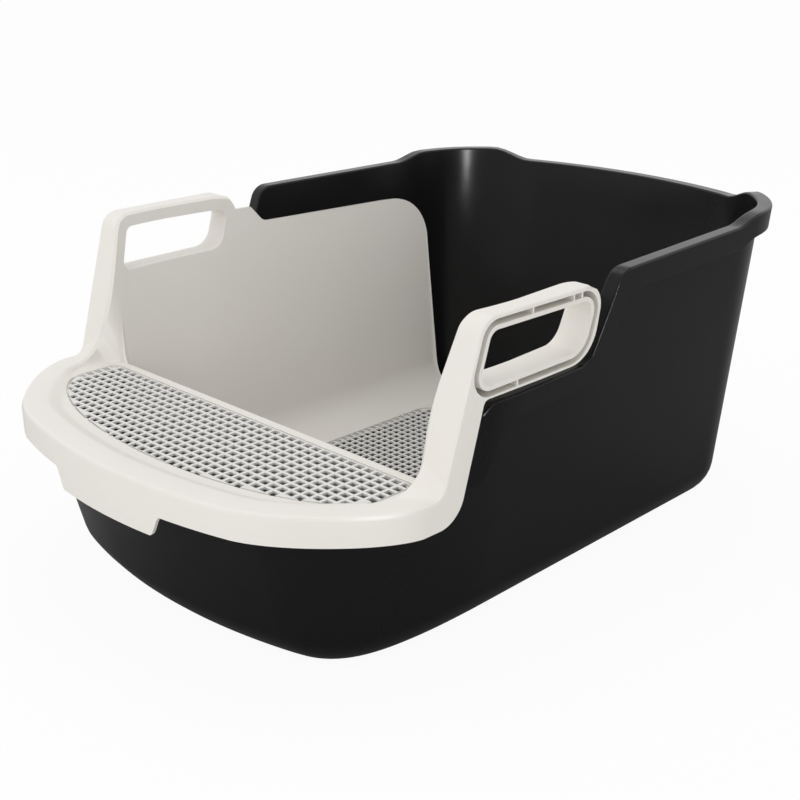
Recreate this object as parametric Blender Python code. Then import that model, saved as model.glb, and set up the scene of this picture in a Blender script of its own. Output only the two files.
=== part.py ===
"""High-sided litter box: a deep pan with raised rear corners, and a lift-out entry tray hung on its front.

Metres, Z up, the floor at Z = 0. X runs across the box and Y towards the back wall. A cat enters over the
shelf at the -Y end: it crosses the step grate, then the floor grate down inside, and its paws shed the litter.
Names ending in share or shares are parts of a whole. Names ending in facets or stations are counts.
"""

import math

import bmesh
import bpy
import numpy as np

# Entry tray: one moulded sheet, with a lip and skirt in front, a step, a floor and two side walls.
sheet = 0.0026
shelf_height = 0.127
lip_rise = 0.0045
lip_height = shelf_height + lip_rise
lip_flat = 0.018
lip_ramp = 0.011
lip_front = 0.2995
lip_corner = 0.112
lip_edge = 0.0042
lip_corner_reach = 0.034
lip_shoulder_x = 0.1970
lip_shoulder_y = -0.200
lip_shoulder_reach = 0.028
lip_shoulder_lean = 0.005
lip_end_x = 0.1975
lip_end_y = -0.150
lip_end_reach = 0.015
skirt_depth = 0.021
tab_half = 0.049
tab_flare = 0.010
tab_depth = 0.015
plate_drop = 0.00005
plate_corner = -0.175
plate_rear = -0.1495
shelf_clear = 0.0292
wall_gap = 0.0012
leg_lean_share = 0.015

# Legs: each sweeps up from the lip. Its inner edge sweeps wider than its outer one.
leg_start = -0.238
leg_line = -0.183
leg_sweep = 0.018
leg_inner_start = -0.231
leg_inner_line = -0.184
leg_inner_sweep = 0.030
leg_twist_start = -0.225
leg_twist_end = -0.188
leg_foot_line = -0.1695
leg_foot_sweep = 0.022
leg_pocket_front = -0.1700
leg_pocket_rear = -0.1385
leg_pocket_top = 0.0010
leg_pocket_wall = 0.0052
band_width = 0.0235
band_taper_share = 0.04
band_edge = 0.0018
edge_clearance = 0.0004
shelf_fillet = 0.005

# Handles: a loop each, seen from the side.
handle_front = -0.1510
handle_front_inner = -0.1505
handle_middle = -0.092
handle_top = 0.2395
handle_crown = 0.0002
handle_front_radius = 0.0145
handle_low = 0.1868
handle_low_front = -0.1484
handle_low_radius = 0.004
handle_rear = -0.0325
handle_rear_radius = 0.016
handle_rear_low = -0.0422
handle_rear_low_radius = 0.026

# Finger hole in a tube wall, a channel round it open on the outside, and ribs across the channel.
hole_front_low = -0.1548
hole_front_high = -0.1440
hole_rear_low = -0.0528
hole_rear_high = -0.0425
hole_low = 0.1948
hole_high = 0.2304
hole_radius = 0.008
hole_rear_radius = 0.017
hole_draft = 0.0012
tube_wall = 0.0028
channel_width = 0.0040
rib_width = 0.0014
top_ribs = (-0.1055, -0.0647, -0.0562)
low_ribs = (-0.1179,)

# Riser, side walls and floor of the tray.
riser = -0.1655
riser_draft = 0.003
riser_corner = 0.009
riser_crest = 0.0005
tray_floor = 0.019
tray_fillet = 0.028
riser_fillet = 0.006
least_radius = 0.0015
wall_shoulder = 0.226
wall_front = -0.1525
wall_front_radius = 0.002
shoulder_rear = -0.0205
shoulder_radius = 0.004
wall_step = -0.0085
wall_step_radius = 0.012
wall_top = 0.2118
wall_bend = 0.128
wall_bend_radius = 0.003
wall_top_rear = 0.209
wall_rear_drop = 0.003
wall_rear = 0.186
wall_rear_lean = 0.0045
wall_rear_radius = 0.040
wall_rear_corner = 0.009
rear_lip = 0.010
rear_lip_radius = 0.004

# Openings for the grates: a D in the step with its straight side towards the pan, and one in the floor.
step_rear = -0.1722
step_middle = -0.201
step_front = -0.263
step_half = 0.1645
step_corner = 0.006
floor_open_half = 0.121
floor_open_front = -0.150
floor_open_rear = 0.136
floor_open_corner = 0.012
ledge = 0.003

# Grates: perforated panels that drop into the openings.
grate_gap = 0.0004
grate_thick = 0.0016
ledge_drop = grate_thick + 0.0001
step_pitch_x = 0.0168
step_pitch_y = 0.01472
floor_pitch = 0.0219
hole_share = 0.66
grate_margin = 0.0035

# Pan: a drafted shell whose rim steps down at the front, where the entry tray rests on it.
pan_wall = 0.003
pan_floor = 0.003
pan_height = 0.2395
pan_bottom_radius = 0.026
pan_inner_radius = 0.022
ear_rise = 0.006
rear_dip = 0.0035
rim_gap = 0.0005
handle_seat = 0.0083
front_rim_height = shelf_height - sheet - rim_gap
low_rim_height = handle_low - handle_seat
rim_flange = 0.0087
rim_flange_front = 0.0045
rim_skirt = 0.0185
rim_skirt_front = 0.0085
rim_plate = 0.0028
rim_edge = 0.0016

# Plan of the pan at the floor and at the rim, outer faces. The wall between them is ruled.
floor_front = 0.251
floor_rear = 0.237
floor_half_front = 0.1605
floor_half_rear = 0.1565
top_front = 0.314
top_rear = 0.277
top_half_front = 0.1905
top_half_rear = 0.1755
sag_half = 0.120
front_sag = 0.01728
floor_rear_sag = 0.01094
top_rear_sag = 0.02016
side_front = 0.105
side_rear = 0.172
floor_front_corner = 0.106
floor_rear_corner = 0.093
top_front_corner = 0.112
top_rear_corner = 0.092
floor_corner_shares = (0.84, 0.68)
top_corner_shares = (0.50, 0.40)
rear_corner_share = 0.55

# Where the rim changes height along each side, as distances along Y.
low_rim_middle = -0.062
step_top = -0.004
step_foot = -0.030
step_top_radius = 0.015
step_foot_radius = 0.012
rim_leg_top = -0.1345
rim_leg_foot = -0.1440
rim_leg_radius = 0.012
ear_start = 0.153
ear_full = 0.186
ear_end_x = 0.140
ear_gone_x = 0.108

# Numbers of facets and of stations.
front_facets = 7
corner_facets = 10
rear_facets = 6
fillet_facets = 4
bend_facets = 8
leg_stations = (8, 7, 8, 6, 4)
handle_facets = 12
lip_corner_facets = 8
tab_facets = 4
pocket_facets = 6
pocket_scan = 150
scan = 0.001
cutter_reach = 0.004

front_bow = front_sag / sag_half**2


def clear_scene():
    for obj in list(bpy.data.objects):
        bpy.data.objects.remove(obj, do_unlink=True)


def plastic(name, colour, rough):
    """A Principled material; each piece has its own."""
    material = bpy.data.materials.new(name)
    material.use_nodes = True
    shader = material.node_tree.nodes["Principled BSDF"]
    shader.inputs["Base Color"].default_value = (*colour, 1)
    shader.inputs["Roughness"].default_value = rough
    material.diffuse_color = (*colour, 1)
    return material


def piece(name, points, faces, material=None):
    """An object of these points and faces, its normals made to face out."""
    mesh = bpy.data.meshes.new(name)
    mesh.from_pydata([tuple(map(float, p)) for p in points], [], faces)
    bm = bmesh.new()
    bm.from_mesh(mesh)
    bmesh.ops.remove_doubles(bm, verts=bm.verts, dist=1e-6)
    bmesh.ops.recalc_face_normals(bm, faces=bm.faces)
    if bm.calc_volume(signed=True) < 0:
        bmesh.ops.reverse_faces(bm, faces=bm.faces)
    bm.to_mesh(mesh)
    bm.free()
    if material:
        mesh.materials.append(material)
    obj = bpy.data.objects.new(name, mesh)
    bpy.context.scene.collection.objects.link(obj)
    return obj


def baked(obj):
    """The object with its modifiers applied."""
    graph = bpy.context.evaluated_depsgraph_get()
    mesh = bpy.data.meshes.new_from_object(obj.evaluated_get(graph))
    obj.modifiers.clear()
    old = obj.data
    obj.data = mesh
    bpy.data.meshes.remove(old)
    return obj


def combine(obj, other, operation, solver="EXACT"):
    """Joins or cuts, then removes the other object. Sheets that lie almost flush need the manifold solver."""
    modifier = obj.modifiers.new(operation.lower(), "BOOLEAN")
    modifier.operation = operation
    modifier.solver = solver
    modifier.object = other
    baked(obj)
    bpy.data.objects.remove(other, do_unlink=True)
    return obj


def bezier(a, b, c, d, count):
    """Points on a cubic from a to d, without a."""
    t = np.arange(1, count + 1)[:, None] / count
    a, b, c, d = (np.array(p) for p in (a, b, c, d))
    return (1 - t) ** 3 * a + 3 * (1 - t) ** 2 * t * b + 3 * (1 - t) * t**2 * c + t**3 * d


def rounded(corners, facets=6):
    """A polyline through (position, height, radius) corners, each rounded by an arc."""
    points = [np.array(corners[0][:2])]
    for before, here, after in zip(corners, corners[1:], corners[2:]):
        p, radius = np.array(here[:2]), here[2]
        u, v = np.array(before[:2]) - p, np.array(after[:2]) - p
        u, v = u / np.linalg.norm(u), v / np.linalg.norm(v)
        half = math.acos(np.clip(u @ v, -1, 1)) / 2
        reach = radius / math.tan(half)
        middle = (u + v) / np.linalg.norm(u + v)
        centre = p + middle * radius / math.sin(half)
        start, end = p + u * reach - centre, p + v * reach - centre
        for k in range(facets + 1):
            way = start + (end - start) * k / facets
            points.append(centre + way * radius / np.linalg.norm(way))
    points.append(np.array(corners[-1][:2]))
    return np.array(points)


def height_along(path, where):
    return np.interp(where, path[:, 0], path[:, 1])


def lowered(path, where, depth):
    """The height of the curve that lies this far below a path, measured square to it."""
    offsets = np.arange(-depth, depth + scan / 2, scan)
    drop = np.sqrt(np.maximum(depth**2 - offsets**2, 0))
    return min(height_along(path, where + offsets) - drop)


# The rim of the pan in side view, from the front to the back, in the plane of the side wall.
rim_path = rounded(
    [
        (-top_front, front_rim_height, 0),
        (rim_leg_foot, front_rim_height, rim_leg_radius),
        (rim_leg_top, low_rim_height, rim_leg_radius),
        (step_foot, low_rim_height, step_foot_radius),
        (step_top, pan_height, step_top_radius),
        (top_rear, pan_height, 0),
    ]
)

# Where columns of facets stand along a side: close together where the rim climbs.
side_stations = np.concatenate(
    [
        np.linspace(-side_front, low_rim_middle, 4)[1:],
        np.linspace(low_rim_middle, step_foot - step_foot_radius, 3)[1:],
        np.linspace(step_foot - step_foot_radius, step_top + step_top_radius, 13)[1:],
        np.linspace(step_top + step_top_radius, ear_start, 8)[1:],
        np.linspace(ear_start, side_rear, 3)[1:],
    ]
)


def half_outline(front, corner, half_front, half_rear, rear, rear_sag, rear_corner, shares):
    """The right half of a plan outline, from the middle of the front to the middle of the back."""
    rear_bow = rear_sag / sag_half**2
    front_y = lambda x: -front + front_bow * x**2
    rear_y = lambda x: rear - rear_bow * x**2
    points = [(x, front_y(x)) for x in np.linspace(0, corner, front_facets + 1)]
    start, end = np.array(points[-1]), np.array((half_front, -side_front))
    slope = np.array((1, 2 * front_bow * corner))
    lead = start + slope * (half_front - corner) * shares[0]
    trail = end - np.array((0, (end - start)[1])) * shares[1]
    # The pan's leg profile falls in this corner, so it has more facets than the rest.
    points += list(bezier(start, lead, trail, end, 2 * corner_facets))
    for y in side_stations:
        share = (y + side_front) / (side_rear + side_front)
        points.append((half_front + (half_rear - half_front) * share, y))
    start, end = np.array(points[-1]), np.array((rear_corner, rear_y(rear_corner)))
    lead = start + np.array((0, (end - start)[1])) * rear_corner_share
    trail = end + np.array((1, -2 * rear_bow * rear_corner)) * (half_rear - rear_corner) * rear_corner_share
    points += list(bezier(start, lead, trail, end, corner_facets))
    points += [(x, rear_y(x)) for x in np.linspace(rear_corner, 0, rear_facets + 1)[1:]]
    return np.array(points)


def whole(half):
    """A closed outline from its right half; the first and last points lie on the middle plane."""
    mirrored = half[-2:0:-1] * np.array((-1, 1))
    return np.concatenate([half, mirrored])


pan_floor_outline = whole(
    half_outline(
        floor_front, floor_front_corner, floor_half_front, floor_half_rear,
        floor_rear, floor_rear_sag, floor_rear_corner, floor_corner_shares,
    )
)
pan_top_outline = whole(
    half_outline(
        top_front, top_front_corner, top_half_front, top_half_rear,
        top_rear, top_rear_sag, top_rear_corner, top_corner_shares,
    )
)


def outward(outline):
    """Unit normals of a closed counter-clockwise outline."""
    along = np.roll(outline, -1, axis=0) - np.roll(outline, 1, axis=0)
    along /= np.linalg.norm(along, axis=1)[:, None]
    return np.stack([along[:, 1], -along[:, 0]], axis=1)


pan_normals = outward(pan_top_outline)


def pan_at(heights, offset=0.0):
    """The pan's outer face at a height for each column, moved out by an offset."""
    share = (heights / pan_height)[:, None]
    offset = np.broadcast_to(offset, heights.shape)[:, None]
    return pan_floor_outline + (pan_top_outline - pan_floor_outline) * share + pan_normals * offset


def pan_half_width(y, z):
    """Half the outer width of the pan where a level plane crosses it."""
    count = len(pan_top_outline) // 2 + 1
    low, high = pan_floor_outline[:count], pan_top_outline[:count]
    level = low + (high - low) * z / pan_height
    return float(np.interp(y, level[:, 1], level[:, 0]))


def smooth_share(value, start, end):
    share = np.clip((value - start) / (end - start), 0, 1)
    return share * share * (3 - 2 * share)


def rim_height_at(x, y):
    """The height of the rim over a point of the plan."""
    height = height_along(rim_path, y)
    if y > ear_start:
        height += ear_rise * smooth_share(y, ear_start, ear_full)
    if y > side_rear:
        rear = 1 - smooth_share(abs(x), ear_gone_x, ear_end_x)
        height -= (ear_rise * smooth_share(y, ear_start, ear_full) + rear_dip) * rear
    return height


def rim_heights():
    """The rim's height in each column, found where the ruled wall meets the profile."""
    heights = np.full(len(pan_top_outline), front_rim_height)
    low, high = np.zeros_like(heights), np.full_like(heights, pan_height + ear_rise)
    for _ in range(40):
        heights = (low + high) / 2
        plan = pan_at(heights)
        want = np.array([rim_height_at(x, y) for x, y in plan])
        above = want > heights
        low, high = np.where(above, heights, low), np.where(above, high, heights)
    return heights


def ring_faces(rings, count):
    """Quads between rings of equal count, with the first and last ring closed by a face."""
    faces = []
    for r in range(rings - 1):
        for i in range(count):
            j = (i + 1) % count
            faces.append((r * count + i, r * count + j, (r + 1) * count + j, (r + 1) * count + i))
    faces.append(tuple(range(count))[::-1])
    faces.append(tuple((rings - 1) * count + i for i in range(count)))
    return faces


def ring(plan, heights):
    return np.column_stack([plan, np.broadcast_to(heights, len(plan))])


def make_pan(material):
    heights = rim_heights()
    plan = pan_at(heights)
    count = len(plan)
    grown = smooth_share(plan[:, 1], rim_leg_top - rim_leg_radius, rim_leg_top + rim_leg_radius)
    flange = rim_flange_front + (rim_flange - rim_flange_front) * grown
    depths = rim_skirt_front + (rim_skirt - rim_skirt_front) * grown
    skirt_foot = np.array([lowered(rim_path, y, depth) for y, depth in zip(plan[:, 1], depths)])
    skirt_foot += heights - height_along(rim_path, plan[:, 1])
    rings = []
    for k in range(fillet_facets + 1):
        angle = math.pi / 2 * (1 - k / fillet_facets)
        z = pan_bottom_radius * (1 - math.sin(angle))
        level = np.full(count, z)
        rings.append(ring(pan_at(level, pan_bottom_radius * (math.cos(angle) - 1)), level))
    under = heights - rim_plate
    rings.append(ring(pan_at(under), under))
    inside = flange - rim_plate
    rings.append(ring(pan_at(under, inside), under))
    rings.append(ring(pan_at(skirt_foot, inside), skirt_foot))
    rings.append(ring(pan_at(skirt_foot, flange), skirt_foot))
    rings.append(ring(pan_at(heights - rim_edge, flange), heights - rim_edge))
    rings.append(ring(pan_at(heights, flange - rim_edge), heights))
    rings.append(ring(pan_at(heights, -pan_wall), heights))
    for k in range(fillet_facets + 1):
        angle = math.pi / 2 * k / fillet_facets
        level = np.full(count, pan_floor + pan_inner_radius * (1 - math.sin(angle)))
        inset = -pan_wall - pan_inner_radius * (1 - math.cos(angle))
        rings.append(ring(pan_at(level, inset), level))
    return piece("litter_pan", np.concatenate(rings), ring_faces(len(rings), count), material)


def resample(path, count):
    """Points evenly along a polyline, with both of its ends."""
    steps = np.linalg.norm(np.diff(path, axis=0), axis=1)
    along = np.concatenate([[0], np.cumsum(steps)])
    where = np.linspace(0, along[-1], count)
    return np.column_stack([np.interp(where, along, path[:, k]) for k in range(path.shape[1])])


def lip_front_y(x):
    return -lip_front + front_bow * x**2


def lip_plan():
    """The lip and legs' outer face in plan, from the middle of the front to the leg's back."""
    points = [(x, lip_front_y(x)) for x in np.linspace(0, lip_corner, front_facets + 1)]
    start, shoulder = np.array(points[-1]), np.array((lip_shoulder_x, lip_shoulder_y))
    end = np.array((lip_end_x, lip_end_y))
    lead = start + np.array((1, 2 * front_bow * lip_corner)) * lip_corner_reach
    trail = shoulder - np.array((lip_shoulder_lean, lip_shoulder_reach))
    points += list(bezier(start, lead, trail, shoulder, 4 * corner_facets))
    lead = shoulder + np.array((0, lip_end_reach))
    trail = end - np.array((0, lip_end_reach))
    points += list(bezier(shoulder, lead, trail, end, corner_facets))
    return np.array(points)


lip_outline = lip_plan()


def outer_x(y, z):
    """The outer face of a leg or handle."""
    return float(np.interp(y, lip_outline[:, 1], lip_outline[:, 0])) + (z - shelf_height) * leg_lean_share


def lip_inward(y):
    """The unit direction square to the lip's edge in plan, pointing in."""
    here = np.interp((y - scan, y + scan), lip_outline[:, 1], lip_outline[:, 0])
    turn = np.array((-2 * scan, here[1] - here[0]))
    return turn / np.linalg.norm(turn)


def wall_x(y, z):
    """The inner face of a side wall: inside the pan's wall, and a band's width inside the leg."""
    nested = pan_half_width(y, z) - pan_wall - wall_gap - sheet
    by_leg = outer_x(y, z) - band_width + (z - shelf_height) * band_taper_share
    share = smooth_share(y, riser - riser_corner, riser + riser_corner / 2)
    return by_leg + (nested - by_leg) * share


def leg_path(start, line, sweep, front):
    """An edge of the leg in side view, from the lip up and along the handle: line, arc, line, arc, line."""
    corners = [(start, lip_height, 0), (line, lip_height, sweep)]
    corners += [(front, handle_top, handle_front_radius), (handle_middle, handle_top, 0)]
    points = rounded(corners, bend_facets)
    ends = (0, 1, bend_facets + 1, bend_facets + 2, 2 * bend_facets + 2, 2 * bend_facets + 3)
    path = points[:1]
    for first, last, count in zip(ends, ends[1:], leg_stations):
        path = np.vstack([path, resample(points[first:last + 1], count + 1)[1:]])
    return path


# The leg's outer edge and inner edge in side view, and the lower edge of its outer face.
leg_edge = leg_path(leg_start, leg_line, leg_sweep, handle_front)
leg_inner_edge = leg_path(leg_inner_start, leg_inner_line, leg_inner_sweep, handle_front_inner)
leg_foot_edge = rounded(
    [
        (leg_start, lip_height - skirt_depth, 0),
        (leg_foot_line, lip_height - skirt_depth, leg_foot_sweep),
        (handle_low_front, handle_low, handle_low_radius),
        (handle_middle, handle_low, 0),
    ],
    bend_facets,
)
handle_edge_end = (handle_rear - handle_rear_radius, handle_top - handle_crown)
handle_edge = np.array(((handle_middle, handle_top), handle_edge_end))
handle_foot_edge = rounded(
    [
        (handle_middle, handle_low, 0),
        (handle_rear_low, handle_low + scan, handle_rear_low_radius),
        (handle_rear, handle_top - handle_crown, handle_rear_radius),
        (handle_rear - handle_rear_radius, handle_top - handle_crown, 0),
    ],
    bend_facets,
)
handle_foot_edge = handle_foot_edge[handle_foot_edge[:, 1] < handle_top - 2 * band_edge]


def tab_drop(x):
    """How far the skirt's middle tab hangs below the rest."""
    return tab_depth * (1 - smooth_share(abs(x), tab_half, tab_half + tab_flare))


# Across the lip from its outer edge: shares of the edge radius, flat, ramp and rise.
edge_share = 0.3
flat_share = 0.8
ramp_shares = ((0.3, 0.2), (0.7, 0.8))


def lip_section(place, inward, foot):
    """A closed section of the lip: skirt, rounded edge and flat top, hollow below."""
    z, low = lip_height, shelf_height
    lean = (z - foot) * leg_lean_share
    rows = [(lean, foot), (0, z - lip_edge)]
    rows += [(lip_edge * edge_share, z - lip_edge * edge_share), (lip_edge, z)]
    rows += [(lip_flat * flat_share, z), (lip_flat, z)]
    rows += [(lip_flat + lip_ramp * across, z + (low - z) * down) for across, down in ramp_shares]
    rows += [(lip_flat + lip_ramp, low), (lip_flat + lip_ramp, low - sheet)]
    rows += [(sheet, z - sheet), (sheet + lean, foot)]
    return [(*(place + inward * inset), height) for inset, height in rows]


def leg_section(p, q, normal, inner, inner_normal, grown):
    """A closed section of the leg or handle, from its outer edge p, its foot q and its inner edge, as (y, z).

    Where the leg starts it is the lip's section, and it has grown into the leg's when grown is 1.
    """
    edge = lip_edge + (band_edge - lip_edge) * smooth_share(p[1] - lip_height, 0, 2 * lip_edge)
    turned = smooth_share(p[0], leg_twist_start, leg_twist_end)
    across = lip_inward(min(p[0], riser)) * (1 - turned) + np.array((-1, 0)) * turned
    rows = [(0, q), (0, p - normal * edge), (edge * edge_share, p - normal * edge * edge_share), (edge, p)]
    outer = [(*(np.array((outer_x(y, z), y)) + across * inset), z) for inset, (y, z) in rows]

    # The lip's own rows: its flat, ramp and underside, measured from the inner edge.
    place = np.array((outer_x(p[0], lip_height), p[0]))
    ridge = np.array((wall_x(*inner) + band_edge, inner[0]))
    near = [(*(place + (ridge - place) * flat_share), lip_height), (*ridge, lip_height)]
    near += [(*(ridge + across * lip_ramp * x), lip_height - lip_rise * down) for x, down in ramp_shares]
    near += [(*(ridge + across * lip_ramp), z) for z in (shelf_height, shelf_height - sheet)]
    near.append((*(place + across * sheet), lip_height - sheet))

    # The leg's: a rounded edge, and an inner face with a fillet where it stands on the shelf.
    brow = inner - inner_normal * band_edge
    behind = inner[0] + (q[0] - inner[0]) * smooth_share(q[1], lip_height - skirt_depth, shelf_height)
    fillet = shelf_fillet * (1 - smooth_share(behind, riser - 2 * riser_corner, riser - sheet))
    if q[1] < shelf_height - sheet / 2:
        low, high = shelf_height, min(shelf_height + max(fillet, sheet), brow[1] - edge_clearance)
        heights = (high, low + (high - low) * edge_share, low, max(q[1], low - sheet))
        drops = [(behind, z) for z in heights]
    else:
        drops = [q + (inner - q) * share for share in (edge_share, 2 * edge_share / 3, edge_share / 3, 0)]
    insets = (0, fillet * edge_share, fillet, fillet)
    far = [(wall_x(*inner) + band_edge, *inner), (wall_x(*brow), *brow)]
    far += [(wall_x(y, z) - inset, y, z) for inset, (y, z) in zip(insets, drops)]
    under = drops[-1]
    far.append((outer_x(q[0], under[1]) - sheet, q[0], under[1]))
    middle = [tuple(np.array(a) * (1 - grown) + np.array(b) * grown) for a, b in zip(near, far)]
    last = np.array((outer_x(*q), q[0])) + across * sheet
    return outer + middle + [(*last, q[1])]


def edge_normals(path):
    along = np.gradient(path, axis=0)
    along /= np.linalg.norm(along, axis=1)[:, None]
    return np.stack([-along[:, 1], along[:, 0]], axis=1)


def make_outer_band():
    """The lip, both legs and both handles as one sweep round the front, with solid handles."""
    half = []
    stations = [0, tab_half / 2, *np.linspace(tab_half, tab_half + tab_flare, tab_facets + 1)]
    stations += [(tab_half + tab_flare + lip_corner) / 2, lip_corner]
    for x in stations:
        slope = np.array((-2 * front_bow * x, 1))
        place = np.array((x, lip_front_y(x)))
        inward = slope / np.linalg.norm(slope)
        half.append(lip_section(place, inward, lip_height - skirt_depth - tab_drop(x)))
    beyond = (lip_outline[:, 0] > lip_corner + scan) & (lip_outline[:, 1] < leg_start - lip_edge)
    corner = lip_outline[beyond]
    for place in resample(corner, lip_corner_facets):
        half.append(lip_section(place, lip_inward(place[1]), lip_height - skirt_depth))
    lead, sweep, straight, bend, run = leg_stations
    first = np.array([(y, height_along(leg_foot_edge, y)) for y in leg_edge[:lead + 1, 0]])
    turn, rise = bend_facets + 2, bend_facets + 3
    curve = leg_foot_edge[:turn][leg_foot_edge[:turn, 0] > first[-1][0]]
    parts = [first, resample(np.vstack([first[-1], curve]), sweep + 1)[1:]]
    parts.append(resample(leg_foot_edge[turn - 1:rise], straight + 1)[1:])
    parts.append(resample(leg_foot_edge[rise - 1:], bend + run + 1)[1:])
    parts.append(resample(handle_foot_edge, handle_facets + 1)[1:])
    foot = np.vstack(parts)
    back = resample(handle_edge, handle_facets + 1)[1:]
    outer = np.vstack([leg_edge, back])
    inner = np.vstack([leg_inner_edge, back])
    grown = smooth_share(np.arange(len(outer)), 0, lead)
    for section in zip(outer, foot, edge_normals(outer), inner, edge_normals(inner), grown):
        half.append(leg_section(*section))
    size = len(half[0])
    left = [[(-x, y, z) for x, y, z in section] for section in half[:0:-1]]
    sections = left + half
    points = [point for section in sections for point in section]
    return piece("entry_tray", points, ring_faces(len(sections), size))


# The edge of the step and side walls in side view: everything of the basin above it is cut away.
basin_reach = 2 * wall_rear
basin_edge = rounded(
    [
        (-basin_reach, shelf_height - sheet / 2, 0),
        (riser + sheet, shelf_height - sheet / 2, riser_crest),
        (wall_front, wall_shoulder, wall_front_radius),
        (shoulder_rear, wall_shoulder, shoulder_radius),
        (wall_step, wall_top, wall_step_radius),
        (wall_bend, wall_top_rear, wall_bend_radius),
        (wall_rear - wall_rear_lean - wall_rear_drop, wall_top_rear - wall_rear_drop, wall_rear_radius),
        (wall_rear - wall_rear_drop, tray_floor + rear_lip, rear_lip_radius),
        (basin_reach, tray_floor + rear_lip, 0),
    ]
)


def basin_ring(z, grow, grow_ends):
    """A level ring of the basin's inner face, moved out by grow at the sides and by grow_ends at the ends."""
    front = riser + riser_draft * (1 - z / shelf_height) - grow_ends
    rear = wall_rear + grow_ends
    side = lambda y: wall_x(y, z) + grow
    half = [(x, front) for x in np.linspace(0, side(front) - riser_corner - sheet, 3)[:-1]]
    radius = max(riser_corner + grow, least_radius)
    middle = np.array((side(front + radius) - radius, front + radius))
    for k in range(7):
        angle = math.pi / 2 * (k / 6 - 1)
        half.append(tuple(middle + radius * np.array((math.cos(angle), math.sin(angle)))))
    straight = np.linspace(riser + 2 * riser_corner, wall_rear - 2 * wall_rear_corner, 8)
    half += [(side(y), y) for y in straight]
    radius = max(wall_rear_corner + grow, least_radius)
    middle = np.array((side(rear - radius) - radius, rear - radius))
    for k in range(6):
        angle = math.pi / 2 * k / 5
        half.append(tuple(middle + radius * np.array((math.cos(angle), math.sin(angle)))))
    half.append((0, rear))
    return whole(np.array(half))


def make_basin():
    """The step's riser, the side walls and the floor as one shell, cut along the side walls' edge."""
    count = len(basin_ring(shelf_height, 0, 0))

    def fillet(grow, facets=5):
        made = []
        for k in range(facets + 1):
            angle = math.pi / 2 * k / facets
            radius = tray_fillet + grow
            z = tray_floor - grow + radius * (1 - math.sin(angle))
            inset = radius * (1 - math.cos(angle))
            made.append(ring(basin_ring(z, grow - inset, grow - inset * riser_fillet / tray_fillet), z))
        return made

    rings = fillet(sheet)[::-1]
    rings.append(ring(basin_ring(handle_top, sheet, sheet), handle_top))
    rings.append(ring(basin_ring(handle_top, 0, 0), handle_top))
    rings += fillet(0)
    basin = piece("basin", np.concatenate(rings), ring_faces(len(rings), count))
    loop = [tuple(point) for point in basin_edge]
    loop += [(basin_reach, 2 * handle_top), (-basin_reach, 2 * handle_top)]
    reach = 2 * top_half_front
    points = [(-reach, y, z) for y, z in loop] + [(reach, y, z) for y, z in loop]
    return combine(basin, piece("above", points, ring_faces(2, len(loop))), "DIFFERENCE")


def prism(name, outline, low, high):
    """A closed prism of a plan outline between two heights."""
    rings = [ring(np.array(outline), low), ring(np.array(outline), high)]
    return piece(name, np.concatenate(rings), ring_faces(2, len(outline)))


def d_outline(margin=0.0):
    """The step opening: straight at the back, half an ellipse in front, drawn in by a margin."""
    back, half = step_rear - margin, step_half - margin
    right = []
    for k in range(14):
        angle = math.pi / 2 * k / 13
        deep = step_middle - step_front - margin
        right.append((half * math.sin(angle), step_middle - deep * math.cos(angle)))
    for k in range(4):
        angle = math.pi / 2 * k / 3
        centre = np.array((half - step_corner, back - step_corner))
        right.append(tuple(centre + step_corner * np.array((math.cos(angle), math.sin(angle)))))
    right.append((0, back))
    return whole(np.array(right))


def floor_outline(margin=0.0):
    half, front, back = floor_open_half - margin, floor_open_front + margin, floor_open_rear - margin
    radius = floor_open_corner
    right = [(0, front)]
    for centre, turn in (((half - radius, front + radius), -1), ((half - radius, back - radius), 0)):
        for k in range(5):
            angle = math.pi / 2 * (turn + k / 4)
            right.append((centre[0] + radius * math.cos(angle), centre[1] + radius * math.sin(angle)))
    right.append((0, back))
    return whole(np.array(right))


def hole_outline(grow=0.0, facets=4):
    """The finger hole in side view, as (y, z) from the front bottom corner round by the top, grown by grow."""
    corners = np.array(
        [
            (hole_front_low, hole_low),
            (hole_front_high, hole_high),
            (hole_rear_high, hole_high - scan),
            (hole_rear_low, hole_low + scan),
        ]
    )
    radii = (hole_radius, hole_radius, hole_radius, hole_rear_radius)
    points = []
    for i, (corner, radius) in enumerate(zip(corners, radii)):
        u, v = corners[i - 1] - corner, corners[(i + 1) % 4] - corner
        u, v = u / np.linalg.norm(u), v / np.linalg.norm(v)
        half = math.acos(u @ v) / 2
        middle = (u + v) / np.linalg.norm(u + v)
        centre = corner + middle * radius / math.sin(half)
        first = corner + u * radius / math.tan(half) - centre
        last = corner + v * radius / math.tan(half) - centre
        for k in range(facets + 1):
            way = first + (last - first) * k / facets
            points.append(centre + way / np.linalg.norm(way) * (radius + grow))
    return np.array(points)


def side_prism(name, loop, inner, outer, side, near_loop=None):
    """A prism through a side, from a (y, z) loop, or from two. Inner and outer give x at (y, z)."""
    near = [(side * inner(y, z), y, z) for y, z in (loop if near_loop is None else near_loop)]
    far = [(side * outer(y, z), y, z) for y, z in loop]
    return piece(name, near + far, ring_faces(2, len(loop)))


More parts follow.
